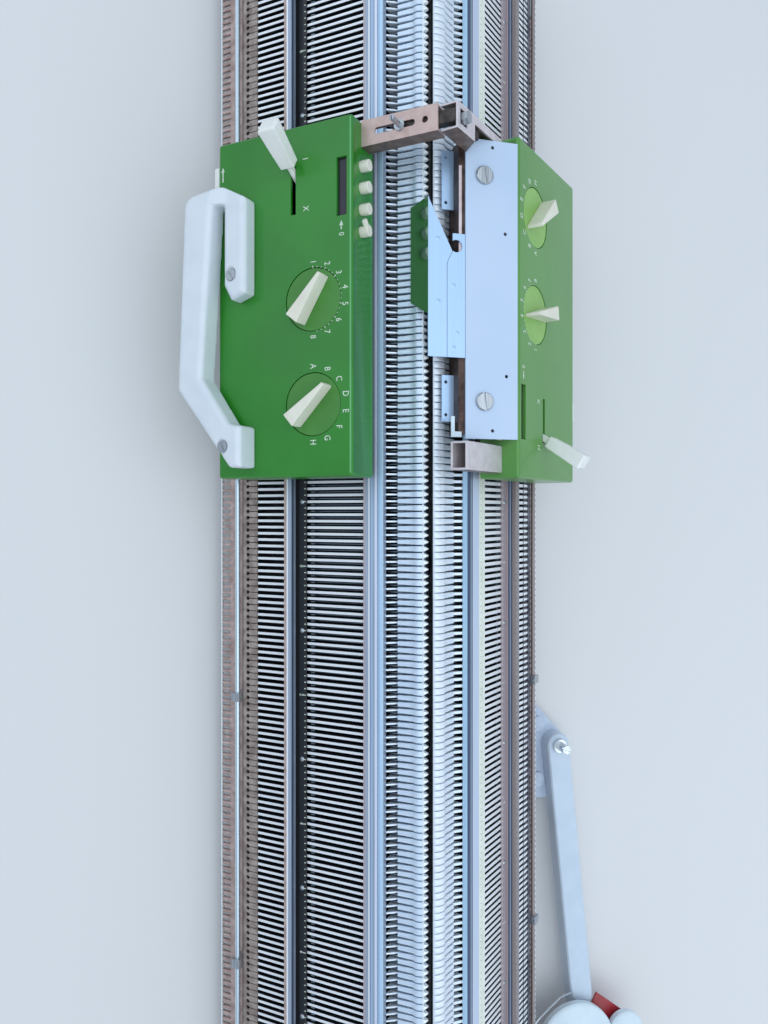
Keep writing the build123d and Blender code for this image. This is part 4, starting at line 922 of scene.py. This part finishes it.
# rivets in the guide plate, as places from the lock's middle
guideRivets = {
    "x": np.array([-44.4, -11.4, 0.5, 22.4, 33.3]),
    "y": np.array([-0.3, 11.8, 0.3, 14.4, 12.0]),
    "sunk": 0.02,
    "radius": 1.7,
    "rise": 0.3,
}
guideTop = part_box("yarn_guide")[1][2] / mm - machine["ridgeHeight"]
centers = ridgePoints(guideRivets["x"], guideRivets["y"], guideTop - guideRivets["sunk"])
along, up = np.array([0, 1, 0]), np.array([0, 0, 1])
heads = domes(centers, along, up, guideRivets["radius"], guideRivets["rise"], rings=3, sides=14)
makePiece("guideRivets", *heads, finish["guide"], "carriage", "guide_steel", 40)

# a painted highlight: a light green strip along the front lock's upper edge, where its rounded edge catches
# the light
edgeHighlight = {"inset": 2.5, "start": 38.9, "end": 39.8, "low": -0.2, "top": 0.04}
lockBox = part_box("front_lock_cover")
edgeX = np.repeat([lockBox[0][0] / mm + edgeHighlight["inset"], lockBox[1][0] / mm - edgeHighlight["inset"]], 4)
edgeT = np.tile([edgeHighlight[place] for place in ("start", "end", "end", "start")], 2)
edgeLevel = machine["lockTop"] + np.tile([edgeHighlight[place] for place in ("low", "low", "top", "top")], 2)
edgePoints = bedPoints(edgeX, edgeT, edgeLevel, -1)
makePiece("frontLockEdgeHighlight", edgePoints, loftFaces(2, 4), finish["litEdge"], "carriage", "front_green")

# the guide's flap, in front of this y, is polished and mirrors the lock; its steel is also tinted green as a
# painted reflection of the lock
flapStart = -7.6
guide = dressedCopy("yarn_guide", finish["guide"], 0.2)
paintFaces(guide, finish["guideFlap"], lambda place, normal: place[1] < flapStart)
dressedCopy("stripper_bars", finish["guide"], 0.3)
dressedCopy("carriage_screws", finish["screw"], 0.15)
print("locks made")

# Frames and the swing arm
for node in ("left_end_frame", "right_end_frame", "middle_foot"):
    dressedCopy(node, finish["framePaint"], 0.8)
dressedCopy("rubber_feet", finish["rubber"], 0.6)
dressedCopy("arm_bracket", finish["bracket"], 0.6)
dressedCopy("arm_pin", finish["pin"], 0.2)
dressedCopy("swing_arm", finish["arm"], 0.3)
dressedCopy("tension_plate", finish["red"], 0.2)
dressedCopy("tension_discs", finish["disc"], 0.0, smoothDegrees=40)
dressedCopy("take_up_wire", finish["wire"], 0.0, smoothDegrees=60)
print("arm made")
